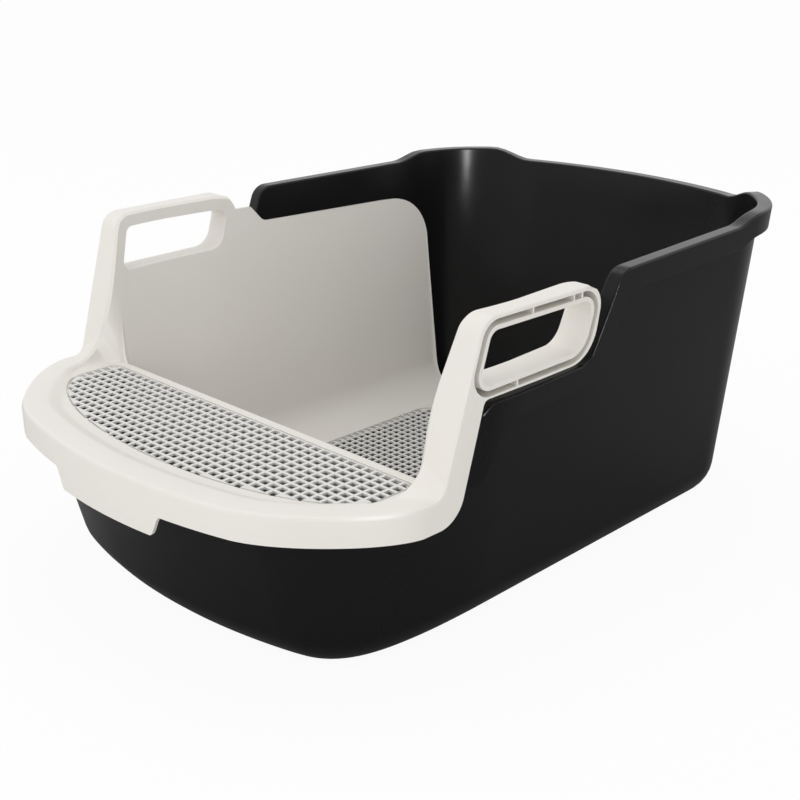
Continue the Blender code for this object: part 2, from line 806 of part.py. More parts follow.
def channel_cutters(side):
    """The channel round a handle's tube, in lengths that leave the ribs standing."""
    inner, outer = hole_outline(tube_wall), hole_outline(tube_wall + channel_width)
    inner, outer = np.vstack([inner, inner[:1]]), np.vstack([outer, outer[:1]])
    cuts = []
    for i in range(len(inner) - 1):
        spans = [(0.0, 1.0)]
        a, b = inner[i], inner[i + 1]
        length = b[0] - a[0]
        # The two long runs carry the ribs: the first along the top, the other along the bottom.
        if abs(length) > 2 * hole_radius:
            for y in top_ribs if length > 0 else low_ribs:
                share, half = (y - a[0]) / length, rib_width / 2 / abs(length)
                start, end = spans.pop()
                spans += [(start, share - half), (share + half, end)]
        cuts.append((i, spans))
    runs, run = [], []
    for i, spans in cuts:
        for start, end in spans:
            ends = [(inner[i] + (inner[i + 1] - inner[i]) * t, outer[i] + (outer[i + 1] - outer[i]) * t)
                    for t in (start, end)]
            if start > 0:
                runs.append(run)
                run = []
            run += ends if not run else ends[1:]
    runs.append(run)
    if len(runs) > 1:
        runs[0] = runs.pop() + runs[0][1:]
    back = lambda y, z: wall_x(y, z) + sheet
    front = lambda y, z: outer_x(y, z) + sheet
    made = []
    for run in runs:
        points, faces = [], []
        for near, far in run:
            points += [(side * back(*near), *near), (side * back(*far), *far)]
            points += [(side * front(*far), *far), (side * front(*near), *near)]
        made.append(piece("channel", points, ring_faces(len(run), 4)))
    return made


def pocket_loop(path):
    """The pocket's outline in side view behind one of the leg's edges."""
    edge = resample(path, pocket_scan)
    front = edge - edge_normals(edge) * sheet
    top, base = handle_low - leg_pocket_top, shelf_height - shelf_clear
    front = front[(front[:, 0] > leg_pocket_front) & (front[:, 1] < top) & (front[:, 1] > lip_height)]
    loop = [(front[0][0], base), *map(tuple, resample(front, pocket_facets)), (front[-1][0] + sheet, top)]
    return loop + [(leg_pocket_rear, top), (leg_pocket_rear, base)]


def leg_pocket(side):
    """The hollow behind a leg, open below and at the back. Its front wall follows the twist of the leg."""
    inner = lambda y, z: wall_x(y, z) + leg_pocket_wall
    outer = lambda y, z: outer_x(y, z) - sheet
    return side_prism("pocket", pocket_loop(leg_edge), inner, outer, side)


def make_tray(material):
    tray = make_outer_band()
    corner = basin_ring(shelf_height - sheet / 2, -plate_drop, -plate_drop)
    count = len(corner) // 2 + 1
    half = [point for point in corner[:count] if point[1] < riser + 2 * riser_corner]
    edge = resample(lip_outline[lip_outline[:, 1] < plate_corner], 16)
    edge = edge + edge_normals(edge) * (lip_flat + lip_ramp / 2)
    edge[0] = (0, lip_flat + lip_ramp / 2 - lip_front)
    bound = lambda y: wall_x(min(y, riser - riser_corner / 2), shelf_height) + sheet / 2
    edge = [(min(x, bound(y)), y) for x, y in edge]
    edge.append((wall_x(plate_rear, shelf_height) + sheet / 2, plate_rear))
    right = edge + [tuple(point) for point in half[::-1]]
    plan, top = whole(np.array(right)), shelf_height - plate_drop
    plate = prism("plate", plan, shelf_height - sheet + plate_drop, top)
    combine(tray, plate, "UNION", "MANIFOLD")
    combine(tray, make_basin(), "UNION", "MANIFOLD")
    for side in (1, -1):
        combine(tray, leg_pocket(side), "DIFFERENCE", "MANIFOLD")
        for cutter in channel_cutters(side):
            combine(tray, cutter, "DIFFERENCE", "MANIFOLD")
        inner = lambda y, z: wall_x(y, z) - cutter_reach
        outer = lambda y, z: outer_x(y, z) + cutter_reach
        hole = side_prism("hole", hole_outline(), inner, outer, side, hole_outline(-hole_draft))
        combine(tray, hole, "DIFFERENCE", "MANIFOLD")
    for outline, z in ((d_outline, shelf_height), (floor_outline, tray_floor)):
        recess = prism("recess", outline(), z - ledge_drop, z + cutter_reach)
        combine(tray, recess, "DIFFERENCE", "MANIFOLD")
        opening = prism("opening", outline(ledge), z - cutter_reach, z + cutter_reach)
        combine(tray, opening, "DIFFERENCE", "MANIFOLD")
    tray.data.materials.append(material)
    return tray


def inside(outline, x, y):
    a, b = outline, np.roll(outline, -1, axis=0)
    crossing = (a[:, 1] > y) != (b[:, 1] > y)
    with np.errstate(divide="ignore", invalid="ignore"):
        where = a[:, 0] + (y - a[:, 1]) * (b[:, 0] - a[:, 0]) / (b[:, 1] - a[:, 1])
    return (crossing & (x < where)).sum() % 2 == 1


def make_grate(name, outline, z, pitch, middle, material):
    """A panel with a lattice of square holes wherever a whole hole fits."""
    panel = prism(name, outline(grate_gap), z - grate_thick, z)
    bound = outline(grate_gap + grate_margin)
    points, faces = [], []
    reach = range(-30, 31)
    for i in reach:
        for j in reach:
            x, y = i * pitch[0], middle + j * pitch[1]
            half = (pitch[0] * hole_share / 2, pitch[1] * hole_share / 2)
            corners = [(x + u * half[0], y + v * half[1]) for u, v in ((-1, -1), (1, -1), (1, 1), (-1, 1))]
            if not all(inside(bound, *corner) for corner in corners):
                continue
            first = len(points)
            for low in (z - 2 * grate_thick, z + grate_thick):
                points += [(*corner, low) for corner in corners]
            faces += [tuple(first + k for k in quad) for quad in ring_faces(2, 4)]
    combine(panel, piece("holes", points, faces), "DIFFERENCE")
    panel.data.materials.append(material)
    return panel


def main():
    clear_scene()
    make_pan(plastic("pan_black", (0.012, 0.012, 0.013), 0.4))
    make_tray(plastic("tray_ivory", (0.77, 0.74, 0.69), 0.45))
    step_centre = (step_rear + step_front) / 2
    make_grate("step_grate", d_outline, shelf_height, (step_pitch_x, step_pitch_y), step_centre,
               plastic("step_grate_grey", (0.7, 0.7, 0.69), 0.5))
    floor_centre = (floor_open_front + floor_open_rear) / 2
    make_grate("floor_grate", floor_outline, tray_floor, (floor_pitch, floor_pitch), floor_centre,
               plastic("floor_grate_grey", (0.68, 0.68, 0.67), 0.5))


main()
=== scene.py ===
"""Dresses the high-sided litter box: a black pan, an ivory entry tray and two grey grates.

Metres, Z up, the floor at Z = 0. X runs across the box and Y from the entry to the rear wall.
"""

import math

import bmesh
import bpy
import numpy as np
from bpy.props import FloatProperty, FloatVectorProperty, PointerProperty
from bpy.types import Operator, Panel, PropertyGroup
from mathutils import Euler, Matrix, Vector


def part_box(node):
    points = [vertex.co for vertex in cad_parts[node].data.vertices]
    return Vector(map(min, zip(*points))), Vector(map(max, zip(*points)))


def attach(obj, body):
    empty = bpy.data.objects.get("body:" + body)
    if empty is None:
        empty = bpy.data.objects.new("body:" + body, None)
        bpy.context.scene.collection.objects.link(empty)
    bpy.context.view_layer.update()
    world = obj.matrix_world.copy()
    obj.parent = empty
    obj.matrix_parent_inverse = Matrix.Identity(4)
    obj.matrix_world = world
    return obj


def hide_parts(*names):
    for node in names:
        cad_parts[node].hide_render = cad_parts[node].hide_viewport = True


bl_info = {
    "name": "High-sided litter box",
    "version": (1, 0, 0),
    "blender": (4, 5, 0),
    "location": "View3D > Sidebar > Litter Box",
    "description": "Builds the looks of a litter pan with a lift-out entry tray and drop-in grates",
    "category": "Object",
}

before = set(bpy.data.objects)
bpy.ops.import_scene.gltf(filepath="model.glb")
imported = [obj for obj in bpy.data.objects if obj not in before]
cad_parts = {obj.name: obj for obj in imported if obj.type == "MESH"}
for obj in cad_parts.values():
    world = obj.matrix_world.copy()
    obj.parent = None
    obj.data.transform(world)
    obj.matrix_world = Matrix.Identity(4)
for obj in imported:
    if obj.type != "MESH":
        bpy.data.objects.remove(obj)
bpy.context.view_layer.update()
step_high, floor_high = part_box("step_grate")[1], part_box("floor_grate")[1]


# Entry tray: one moulded sheet, with a lip and skirt in front, a step, a floor and two side walls.
sheet = 0.0026
shelf_height = 0.127
lip_rise = 0.0045
lip_height = shelf_height + lip_rise
lip_flat = 0.018
lip_ramp = 0.011
lip_front = 0.2995
lip_corner = 0.112
lip_edge = 0.0042
lip_corner_reach = 0.034
lip_shoulder_x = 0.1970
lip_shoulder_y = -0.200
lip_shoulder_reach = 0.028
lip_shoulder_lean = 0.005
lip_end_x = 0.1975
lip_end_y = -0.150
lip_end_reach = 0.015
skirt_depth = 0.021
tab_half = 0.049
tab_flare = 0.010
tab_depth = 0.015
plate_drop = 0.00005
plate_corner = -0.175
plate_rear = -0.1495
shelf_clear = 0.0292
wall_gap = 0.0012
leg_lean_share = 0.015

# Legs: each sweeps up from the lip. Its inner edge sweeps wider than its outer one.
leg_start = -0.238
leg_line = -0.183
leg_sweep = 0.011
leg_inner_start = -0.231
leg_inner_line = -0.184
leg_inner_sweep = 0.030
leg_twist_start = -0.225
leg_twist_end = -0.188
leg_foot_line = -0.1695
leg_foot_sweep = 0.022
leg_pocket_front = -0.1700
leg_pocket_rear = -0.1385
leg_pocket_top = 0.0010
leg_pocket_wall = 0.0052
band_width = 0.0235
band_taper_share = 0.04
band_edge = 0.0018
edge_clearance = 0.0004
shelf_fillet = 0.005

# Handles: a loop each, seen from the side.
handle_front = -0.1510
handle_front_inner = -0.1505
handle_middle = -0.092
handle_top = 0.2395
handle_crown = 0.0002
handle_front_radius = 0.0145
handle_low = 0.1868
handle_low_front = -0.1484
handle_low_radius = 0.004
handle_rear = -0.0325
handle_rear_radius = 0.016
handle_inner_radius = 0.012
handle_inner_turn = math.radians(38)
handle_rear_low = -0.0422
handle_rear_low_radius = 0.026

# Finger hole in a tube wall, a channel round it open on the outside, and ribs across the channel.
hole_front_low = -0.1548
hole_front_high = -0.1440
hole_rear_low = -0.0528
hole_rear_high = -0.0425
hole_low = 0.1948
hole_high = 0.2304
hole_radius = 0.008
hole_rear_radius = 0.017
hole_draft = 0.0012
tube_wall = 0.0028
channel_width = 0.0040
rib_width = 0.0014
top_ribs = (-0.1055, -0.0647, -0.0562)
low_ribs = (-0.1179,)

# Riser, side walls and floor of the tray.
riser = -0.1655
riser_draft = 0.003
riser_corner = 0.009
riser_crest = 0.0005
tray_floor = 0.019
tray_fillet = 0.028
riser_fillet = 0.006
least_radius = 0.0015
wall_shoulder = 0.226
wall_front = -0.1525
wall_front_radius = 0.002
shoulder_rear = -0.0205
shoulder_radius = 0.004
wall_step = -0.0085
wall_step_radius = 0.012
wall_top = 0.2118
wall_bend = 0.128
wall_bend_radius = 0.003
wall_top_rear = 0.209
wall_rear_drop = 0.003
wall_rear = 0.186
wall_rear_lean = 0.0045
wall_rear_radius = 0.040
wall_rear_corner = 0.009
rear_lip = 0.010
rear_lip_radius = 0.004

# Openings for the grates: a D in the step, its straight side to the rear, and one in the floor.
step_rear = -0.1722
step_middle = -0.201
step_front = -0.263
step_half = 0.1645
step_corner = 0.006
floor_open_half = 0.121
floor_open_front = -0.150
floor_open_rear = 0.136
floor_open_corner = 0.012
ledge = 0.003

# Grates: perforated panels that drop into the openings. Cells are counted across and along.
grate_gap = 0.0004
grate_thick = 0.0016
grate_border = 0.0011
ledge_drop = grate_thick + 0.0001
step_cells = (41, 15)
step_row_cells = 9.5
floor_cells = (35, 41)
floor_last_cells = 40.5

# Pan: a drafted shell whose rim steps down at the front, where the entry tray rests on it.
pan_wall = 0.003
pan_floor = 0.003
pan_height = 0.2395
pan_bottom_radius = 0.026
pan_inner_radius = 0.022
ear_rise = 0.006
rear_dip = 0.0035
rim_gap = 0.0005
handle_seat = 0.0083
front_rim_height = shelf_height - sheet - rim_gap
low_rim_height = handle_low - handle_seat
rim_flange = 0.0087
rim_flange_front = 0.0045
rim_skirt = 0.0185
rim_skirt_front = 0.0085
rim_plate = 0.0028
rim_edge = 0.0022
rim_inner_edge = 0.0015
rim_foot_edge = 0.0007

# Plan of the pan at the floor and at the rim, outer faces. The wall between them is ruled.
floor_front = 0.251
floor_rear = 0.237
floor_half_front = 0.1605
floor_half_rear = 0.1565
top_front = 0.314
top_rear = 0.277
top_half_front = 0.1905
top_half_rear = 0.1755
sag_half = 0.120
front_sag = 0.01728
floor_rear_sag = 0.01094
top_rear_sag = 0.02016
side_front = 0.105
side_rear = 0.172
floor_front_corner = 0.106
floor_rear_corner = 0.093
top_front_corner = 0.112
top_rear_corner = 0.092
floor_corner_shares = (0.84, 0.68)
top_corner_shares = (0.50, 0.40)
rear_corner_share = 0.55

# Where the rim changes height along each side, as distances along Y.
low_rim_middle = -0.062
step_top = -0.004
step_foot = -0.030
step_top_radius = 0.015
step_foot_radius = 0.012
rim_leg_top = -0.1345
rim_leg_foot = -0.1440
rim_leg_radius = 0.012
ear_start = 0.153
ear_full = 0.186
ear_end_x = 0.140
ear_gone_x = 0.108

# Numbers of facets and of stations: fine enough that no flat shows.
front_facets = 20
corner_facets = 20
rear_facets = 16
fillet_facets = 8
bend_facets = 16
arc_facets = 14
side_facets = 22
leg_stations = (16, 18, 14, 14, 8)
handle_facets = 30
lip_corner_facets = 26
tab_facets = 8
pocket_facets = 16
hole_facets = 10
pocket_scan = 150
plate_points = 16
rim_steps = (7, 4, 35, 15, 7)
rim_halvings = 40
round_facets = 3
riser_points = 3

# A short step for slopes and for spare height, how far a cutter reaches past what it cuts, how
# close two points are one, and how close a point is on a cutting plane.
scan = 0.001
cutter_reach = 0.004
weld = 1e-6
on_plane = 1e-7

front_bow = front_sag / sag_half**2


def loft(name, rings):
    """A closed shell: the first ring is extruded from ring to ring, and both ends are closed."""
    bm = bmesh.new()
    ring_now = [bm.verts.new(point) for point in rings[0]]
    edges = [bm.edges.new(pair) for pair in zip(ring_now, ring_now[1:] + ring_now[:1])]
    bm.faces.new(ring_now)
    for points in rings[1:]:
        made = bmesh.ops.extrude_edge_only(bm, edges=edges)["geom"]
        new = {part for part in made if isinstance(part, bmesh.types.BMVert)}
        ends = [[edge.other_vert(vert) for edge in vert.link_edges] for vert in ring_now]
        ring_now = [next(vert for vert in near if vert in new) for near in ends]
        edges = [bm.edges.get(pair) for pair in zip(ring_now, ring_now[1:] + ring_now[:1])]
        for vert, point in zip(ring_now, points):
            vert.co = point
    bm.faces.new(ring_now)
    bmesh.ops.remove_doubles(bm, verts=bm.verts, dist=weld)
    bmesh.ops.recalc_face_normals(bm, faces=bm.faces)
    if bm.calc_volume(signed=True) < 0:
        bmesh.ops.reverse_faces(bm, faces=bm.faces)
    return placed(name, bm)


def placed(name, bm):
    """An object of this bmesh, which is freed."""
    mesh = bpy.data.meshes.new(name)
    bm.to_mesh(mesh)
    bm.free()
    obj = bpy.data.objects.new(name, mesh)
    bpy.context.scene.collection.objects.link(obj)
    return obj


def combine(obj, other, operation, solver="MANIFOLD"):
    """Joins or cuts, and removes the other object. The manifold solver takes near-flush sheets."""
    modifier = obj.modifiers.new(operation.lower(), "BOOLEAN")
    modifier.operation, modifier.solver, modifier.object = operation, solver, other
    graph = bpy.context.evaluated_depsgraph_get()
    mesh = bpy.data.meshes.new_from_object(obj.evaluated_get(graph))
    obj.modifiers.clear()
    old, obj.data = obj.data, mesh
    bpy.data.meshes.remove(old)
    mesh.name = obj.name
    bpy.data.objects.remove(other, do_unlink=True)
    return obj


def bezier(a, b, c, d, count):
    """Points on a cubic from a to d, without a."""
    t = np.arange(1, count + 1)[:, None] / count
    a, b, c, d = (np.array(p) for p in (a, b, c, d))
    return (1 - t) ** 3 * a + 3 * (1 - t) ** 2 * t * b + 3 * (1 - t) * t**2 * c + t**3 * d


def unit(way):
    return way / np.linalg.norm(way)


def corner_arc(before, here, after, radius, facets, grow=0.0):
    """Points on the arc that rounds a corner, moved away from its centre by grow."""
    u, v = unit(before - here), unit(after - here)
    half = math.acos(np.clip(u @ v, -1, 1)) / 2
    centre = here + unit(u + v) * radius / math.sin(half)
    reach = radius / math.tan(half)
    start, end = here + u * reach - centre, here + v * reach - centre
    ways = [start + (end - start) * k / facets for k in range(facets + 1)]
    return [centre + unit(way) * (radius + grow) for way in ways]


def rounded(corners, facets=arc_facets):
    """A polyline through (position, height, radius) corners, each rounded by an arc."""
    places = [np.array(corner[:2]) for corner in corners]
    points = [places[0]]
    for before, here, after, corner in zip(places, places[1:], places[2:], corners[1:]):
        points += corner_arc(before, here, after, corner[2], facets)
    return np.array([*points, places[-1]])


def quarter(facets):
    """The cosine and sine of each step of a quarter turn."""
    turns = [math.pi / 2 * k / facets for k in range(facets + 1)]
    return [(math.cos(turn), math.sin(turn)) for turn in turns]


def quarter_arc(middle, radius, turn=0):
    """Points on a quarter of a circle in plan, which starts this many quarter turns round."""
    turns = [math.pi / 2 * (turn + k / arc_facets) for k in range(arc_facets + 1)]
    return [(middle[0] + radius * math.cos(t), middle[1] + radius * math.sin(t)) for t in turns]


def height_along(path, where):
    return np.interp(where, path[:, 0], path[:, 1])


def stations(marks, counts):
    """Places from mark to mark, in this many steps for each pair, without the first mark."""
    pairs = zip(marks, marks[1:], counts)
    return np.concatenate([np.linspace(a, b, count + 1)[1:] for a, b, count in pairs])


def lowered(path, where, depth):
    """The height of the curve that lies this far below a path, measured square to it."""
    offsets = np.arange(-depth, depth + scan / 2, scan)
    drop = np.sqrt(np.maximum(depth**2 - offsets**2, 0))
    return min(height_along(path, where + offsets) - drop)


# The rim of the pan in side view, from the front to the back, in the plane of the side wall.
rim_path = rounded(
    [
        (-top_front, front_rim_height, 0),
        (rim_leg_foot, front_rim_height, rim_leg_radius),
        (rim_leg_top, low_rim_height, rim_leg_radius),
        (step_foot, low_rim_height, step_foot_radius),
        (step_top, pan_height, step_top_radius),
        (top_rear, pan_height, 0),
    ]
)

# Where columns of facets stand along a side: close together where the rim climbs.
climb = (step_foot - step_foot_radius, step_top + step_top_radius)
side_stations = stations((-side_front, low_rim_middle, *climb, ear_start, side_rear), rim_steps)


def half_outline(front, corner, half_front, half_rear, rear, rear_sag, rear_corner, shares):
    """The right half of a plan outline, from the middle of the front to the middle of the back."""
    rear_bow = rear_sag / sag_half**2
    front_y = lambda x: -front + front_bow * x**2
    rear_y = lambda x: rear - rear_bow * x**2
    points = [(x, front_y(x)) for x in np.linspace(0, corner, front_facets + 1)]
    start, end = np.array(points[-1]), np.array((half_front, -side_front))
    slope = np.array((1, 2 * front_bow * corner))
    lead = start + slope * (half_front - corner) * shares[0]
    trail = end - np.array((0, (end - start)[1])) * shares[1]
    # The pan's leg profile falls in this corner, so it has more facets than the rest.
    points += list(bezier(start, lead, trail, end, 2 * corner_facets))
    for y in side_stations:
        share = (y + side_front) / (side_rear + side_front)
        points.append((half_front + (half_rear - half_front) * share, y))
    start, end = np.array(points[-1]), np.array((rear_corner, rear_y(rear_corner)))
    lead = start + np.array((0, (end - start)[1])) * rear_corner_share
    slope = np.array((1, -2 * rear_bow * rear_corner))
    trail = end + slope * (half_rear - rear_corner) * rear_corner_share
    points += list(bezier(start, lead, trail, end, corner_facets))
    points += [(x, rear_y(x)) for x in np.linspace(rear_corner, 0, rear_facets + 1)[1:]]
    return np.array(points)


def whole(half):
    """A closed outline from its right half; the first and last points lie on the middle plane."""
    mirrored = half[-2:0:-1] * np.array((-1, 1))
    return np.concatenate([half, mirrored])


pan_floor_outline = whole(
    half_outline(
        floor_front, floor_front_corner, floor_half_front, floor_half_rear,
        floor_rear, floor_rear_sag, floor_rear_corner, floor_corner_shares,
    )
)
pan_top_outline = whole(
    half_outline(
        top_front, top_front_corner, top_half_front, top_half_rear,
        top_rear, top_rear_sag, top_rear_corner, top_corner_shares,
    )
)


def outward(outline):
    """Unit normals of a closed counter-clockwise outline."""
    along = np.roll(outline, -1, axis=0) - np.roll(outline, 1, axis=0)
    along /= np.linalg.norm(along, axis=1)[:, None]
    return np.stack([along[:, 1], -along[:, 0]], axis=1)


pan_normals = outward(pan_top_outline)


def pan_at(heights, offset=0.0):
    """The pan's outer face at a height for each column, moved out by an offset."""
    share = (heights / pan_height)[:, None]
    offset = np.broadcast_to(offset, heights.shape)[:, None]
    return pan_floor_outline + (pan_top_outline - pan_floor_outline) * share + pan_normals * offset


def pan_half_width(y, z):
    """Half the outer width of the pan where a level plane crosses it."""
    count = len(pan_top_outline) // 2 + 1
    low, high = pan_floor_outline[:count], pan_top_outline[:count]
    level = low + (high - low) * z / pan_height
    return float(np.interp(y, level[:, 1], level[:, 0]))


def smooth_share(value, start, end):
    share = np.clip((value - start) / (end - start), 0, 1)
    return share * share * (3 - 2 * share)


def rim_height_at(x, y):
    """The height of the rim over a point of the plan."""
    height = height_along(rim_path, y)
    if y > ear_start:
        height += ear_rise * smooth_share(y, ear_start, ear_full)
    if y > side_rear:
        rear = 1 - smooth_share(abs(x), ear_gone_x, ear_end_x)
        height -= (ear_rise * smooth_share(y, ear_start, ear_full) + rear_dip) * rear
    return height


def rim_heights():
    """The rim's height in each column, found where the ruled wall meets the profile."""
    heights = np.full(len(pan_top_outline), front_rim_height)
    low, high = np.zeros_like(heights), np.full_like(heights, pan_height + ear_rise)
    for _ in range(rim_halvings):
        heights = (low + high) / 2
        plan = pan_at(heights)
        want = np.array([rim_height_at(x, y) for x, y in plan])
        above = want > heights
        low, high = np.where(above, heights, low), np.where(above, high, heights)
    return heights


def ring(plan, heights):
    return np.column_stack([plan, np.broadcast_to(heights, len(plan))])


def make_pan():
    """The pan as one shell, with the rim's flange folded down outside."""
    heights = rim_heights()
    plan = pan_at(heights)
    count = len(plan)
    grown = smooth_share(plan[:, 1], rim_leg_top - rim_leg_radius, rim_leg_top + rim_leg_radius)
    flange = rim_flange_front + (rim_flange - rim_flange_front) * grown
    depths = rim_skirt_front + (rim_skirt - rim_skirt_front) * grown
    skirt_foot = np.array([lowered(rim_path, y, depth) for y, depth in zip(plan[:, 1], depths)])
    skirt_foot += heights - height_along(rim_path, plan[:, 1])
    rings = []

    def row(level, offset=0.0):
        level = np.broadcast_to(level, count)
        rings.append(ring(pan_at(level, offset), level))

    # Up the outside, round the rim's flange and edges, and down the inside to the floor.
    turn = quarter(fillet_facets)
    for along, up in turn[::-1]:
        row(pan_bottom_radius * (1 - up), pan_bottom_radius * (along - 1))
    row(heights - rim_plate)
    row(heights - rim_plate, flange - rim_plate)
    row(skirt_foot, flange - rim_plate)
    row(skirt_foot, flange - rim_foot_edge)
    row(skirt_foot + rim_foot_edge, flange)
    for along, up in turn:
        row(heights - rim_edge * (1 - up), flange - rim_edge * (1 - along))
    for along, up in turn:
        row(heights - rim_inner_edge * (1 - along), rim_inner_edge * (1 - up) - pan_wall)
    for along, up in turn:
        row(pan_floor + pan_inner_radius * (1 - up), -pan_wall - pan_inner_radius * (1 - along))
    return loft("pan_moulding", rings)


def resample(path, count):
    """Points evenly along a polyline, with both of its ends."""
    steps = np.linalg.norm(np.diff(path, axis=0), axis=1)
    along = np.concatenate([[0], np.cumsum(steps)])
    where = np.linspace(0, along[-1], count)
    return np.column_stack([np.interp(where, along, path[:, k]) for k in range(path.shape[1])])


def lip_front_y(x):
    return -lip_front + front_bow * x**2


def lip_plan():
    """The lip and legs' outer face in plan, from the middle of the front to the leg's back."""
    points = [(x, lip_front_y(x)) for x in np.linspace(0, lip_corner, front_facets + 1)]
    start, shoulder = np.array(points[-1]), np.array((lip_shoulder_x, lip_shoulder_y))
    end = np.array((lip_end_x, lip_end_y))
    lead = start + np.array((1, 2 * front_bow * lip_corner)) * lip_corner_reach
    trail = shoulder - np.array((lip_shoulder_lean, lip_shoulder_reach))
    points += list(bezier(start, lead, trail, shoulder, 4 * corner_facets))
    lead = shoulder + np.array((0, lip_end_reach))
    trail = end - np.array((0, lip_end_reach))
    points += list(bezier(shoulder, lead, trail, end, corner_facets))
    return np.array(points)


lip_outline = lip_plan()


def outer_x(y, z):
    """The outer face of a leg or handle."""
    foot = float(np.interp(y, lip_outline[:, 1], lip_outline[:, 0]))
    return foot + (z - shelf_height) * leg_lean_share


def lip_inward(y):
    """The unit direction square to the lip's edge in plan, pointing in."""
    here = np.interp((y - scan, y + scan), lip_outline[:, 1], lip_outline[:, 0])
    return unit(np.array((-2 * scan, here[1] - here[0])))


def wall_x(y, z):
    """The inner face of a side wall: inside the pan's wall, and a band's width inside the leg."""
    nested = pan_half_width(y, z) - pan_wall - wall_gap - sheet
    by_leg = outer_x(y, z) - band_width + (z - shelf_height) * band_taper_share
    share = smooth_share(y, leg_line, riser + riser_corner / 2)
    return by_leg + (nested - by_leg) * share


def leg_path(start, line, sweep, front):
    """An edge of the leg in side view: line, arc, line, arc, line, from the lip to the handle."""
    corners = [(start, lip_height, 0), (line, lip_height, sweep)]
    corners += [(front, handle_top, handle_front_radius), (handle_middle, handle_top, 0)]
    points = rounded(corners, bend_facets)
    ends = (0, 1, bend_facets + 1, bend_facets + 2, 2 * bend_facets + 2, 2 * bend_facets + 3)
    path = points[:1]
    for first, last, count in zip(ends, ends[1:], leg_stations):
        path = np.vstack([path, resample(points[first:last + 1], count + 1)[1:]])
    return path


# The leg's outer edge and inner edge in side view, and the lower edge of its outer face.
leg_edge = leg_path(leg_start, leg_line, leg_sweep, handle_front)
leg_inner_edge = leg_path(leg_inner_start, leg_inner_line, leg_inner_sweep, handle_front_inner)
leg_foot_edge = rounded(
    [
        (leg_start, lip_height - skirt_depth, 0),
        (leg_foot_line, lip_height - skirt_depth, leg_foot_sweep),
        (handle_low_front, handle_low, handle_low_radius),
        (handle_middle, handle_low, 0),
    ],
    bend_facets,
)
handle_edge_end = (handle_rear - handle_rear_radius, handle_top - handle_crown)
handle_edge = np.array(((handle_middle, handle_top), handle_edge_end))
handle_foot_edge = rounded(
    [
        (handle_middle, handle_low, 0),
        (handle_rear_low, handle_low + scan, handle_rear_low_radius),
        (handle_rear, handle_top - handle_crown, handle_rear_radius),
        (handle_rear - handle_rear_radius, handle_top - handle_crown, 0),
    ],
    bend_facets,
)
handle_foot_edge = handle_foot_edge[handle_foot_edge[:, 1] < handle_top - 2 * band_edge]


def tab_drop(x):
    """How far the skirt's middle tab hangs below the rest."""
    return tab_depth * (1 - smooth_share(abs(x), tab_half, tab_half + tab_flare))


# Across the lip from its outer edge: shares of the edge radius, flat, ramp and rise.
edge_share = 0.3
flat_share = 0.8
round_shares = [along for along, _ in quarter(round_facets)]
ramp_shares = ((0.2, 0.1), (0.5, 0.5), (0.8, 0.9))


def lip_section(place, inward, foot):
    """A closed section of the lip: skirt, rounded edge and flat top, hollow below."""
    z, low = lip_height, shelf_height
    lean = (z - foot) * leg_lean_share
    rows = [(lean, foot), (0, z - lip_edge)]
    rows += [(lip_edge * edge_share, z - lip_edge * edge_share), (lip_edge, z)]
    rows += [(lip_flat * flat_share, z), (lip_flat, z)]
    rows += [(lip_flat + lip_ramp * across, z + (low - z) * down) for across, down in ramp_shares]
    rows += [(lip_flat + lip_ramp, low), (lip_flat + lip_ramp, low - sheet)]
    rows += [(sheet, z - sheet), (sheet + lean, foot)]
    return [(*(place + inward * inset), height) for inset, height in rows]


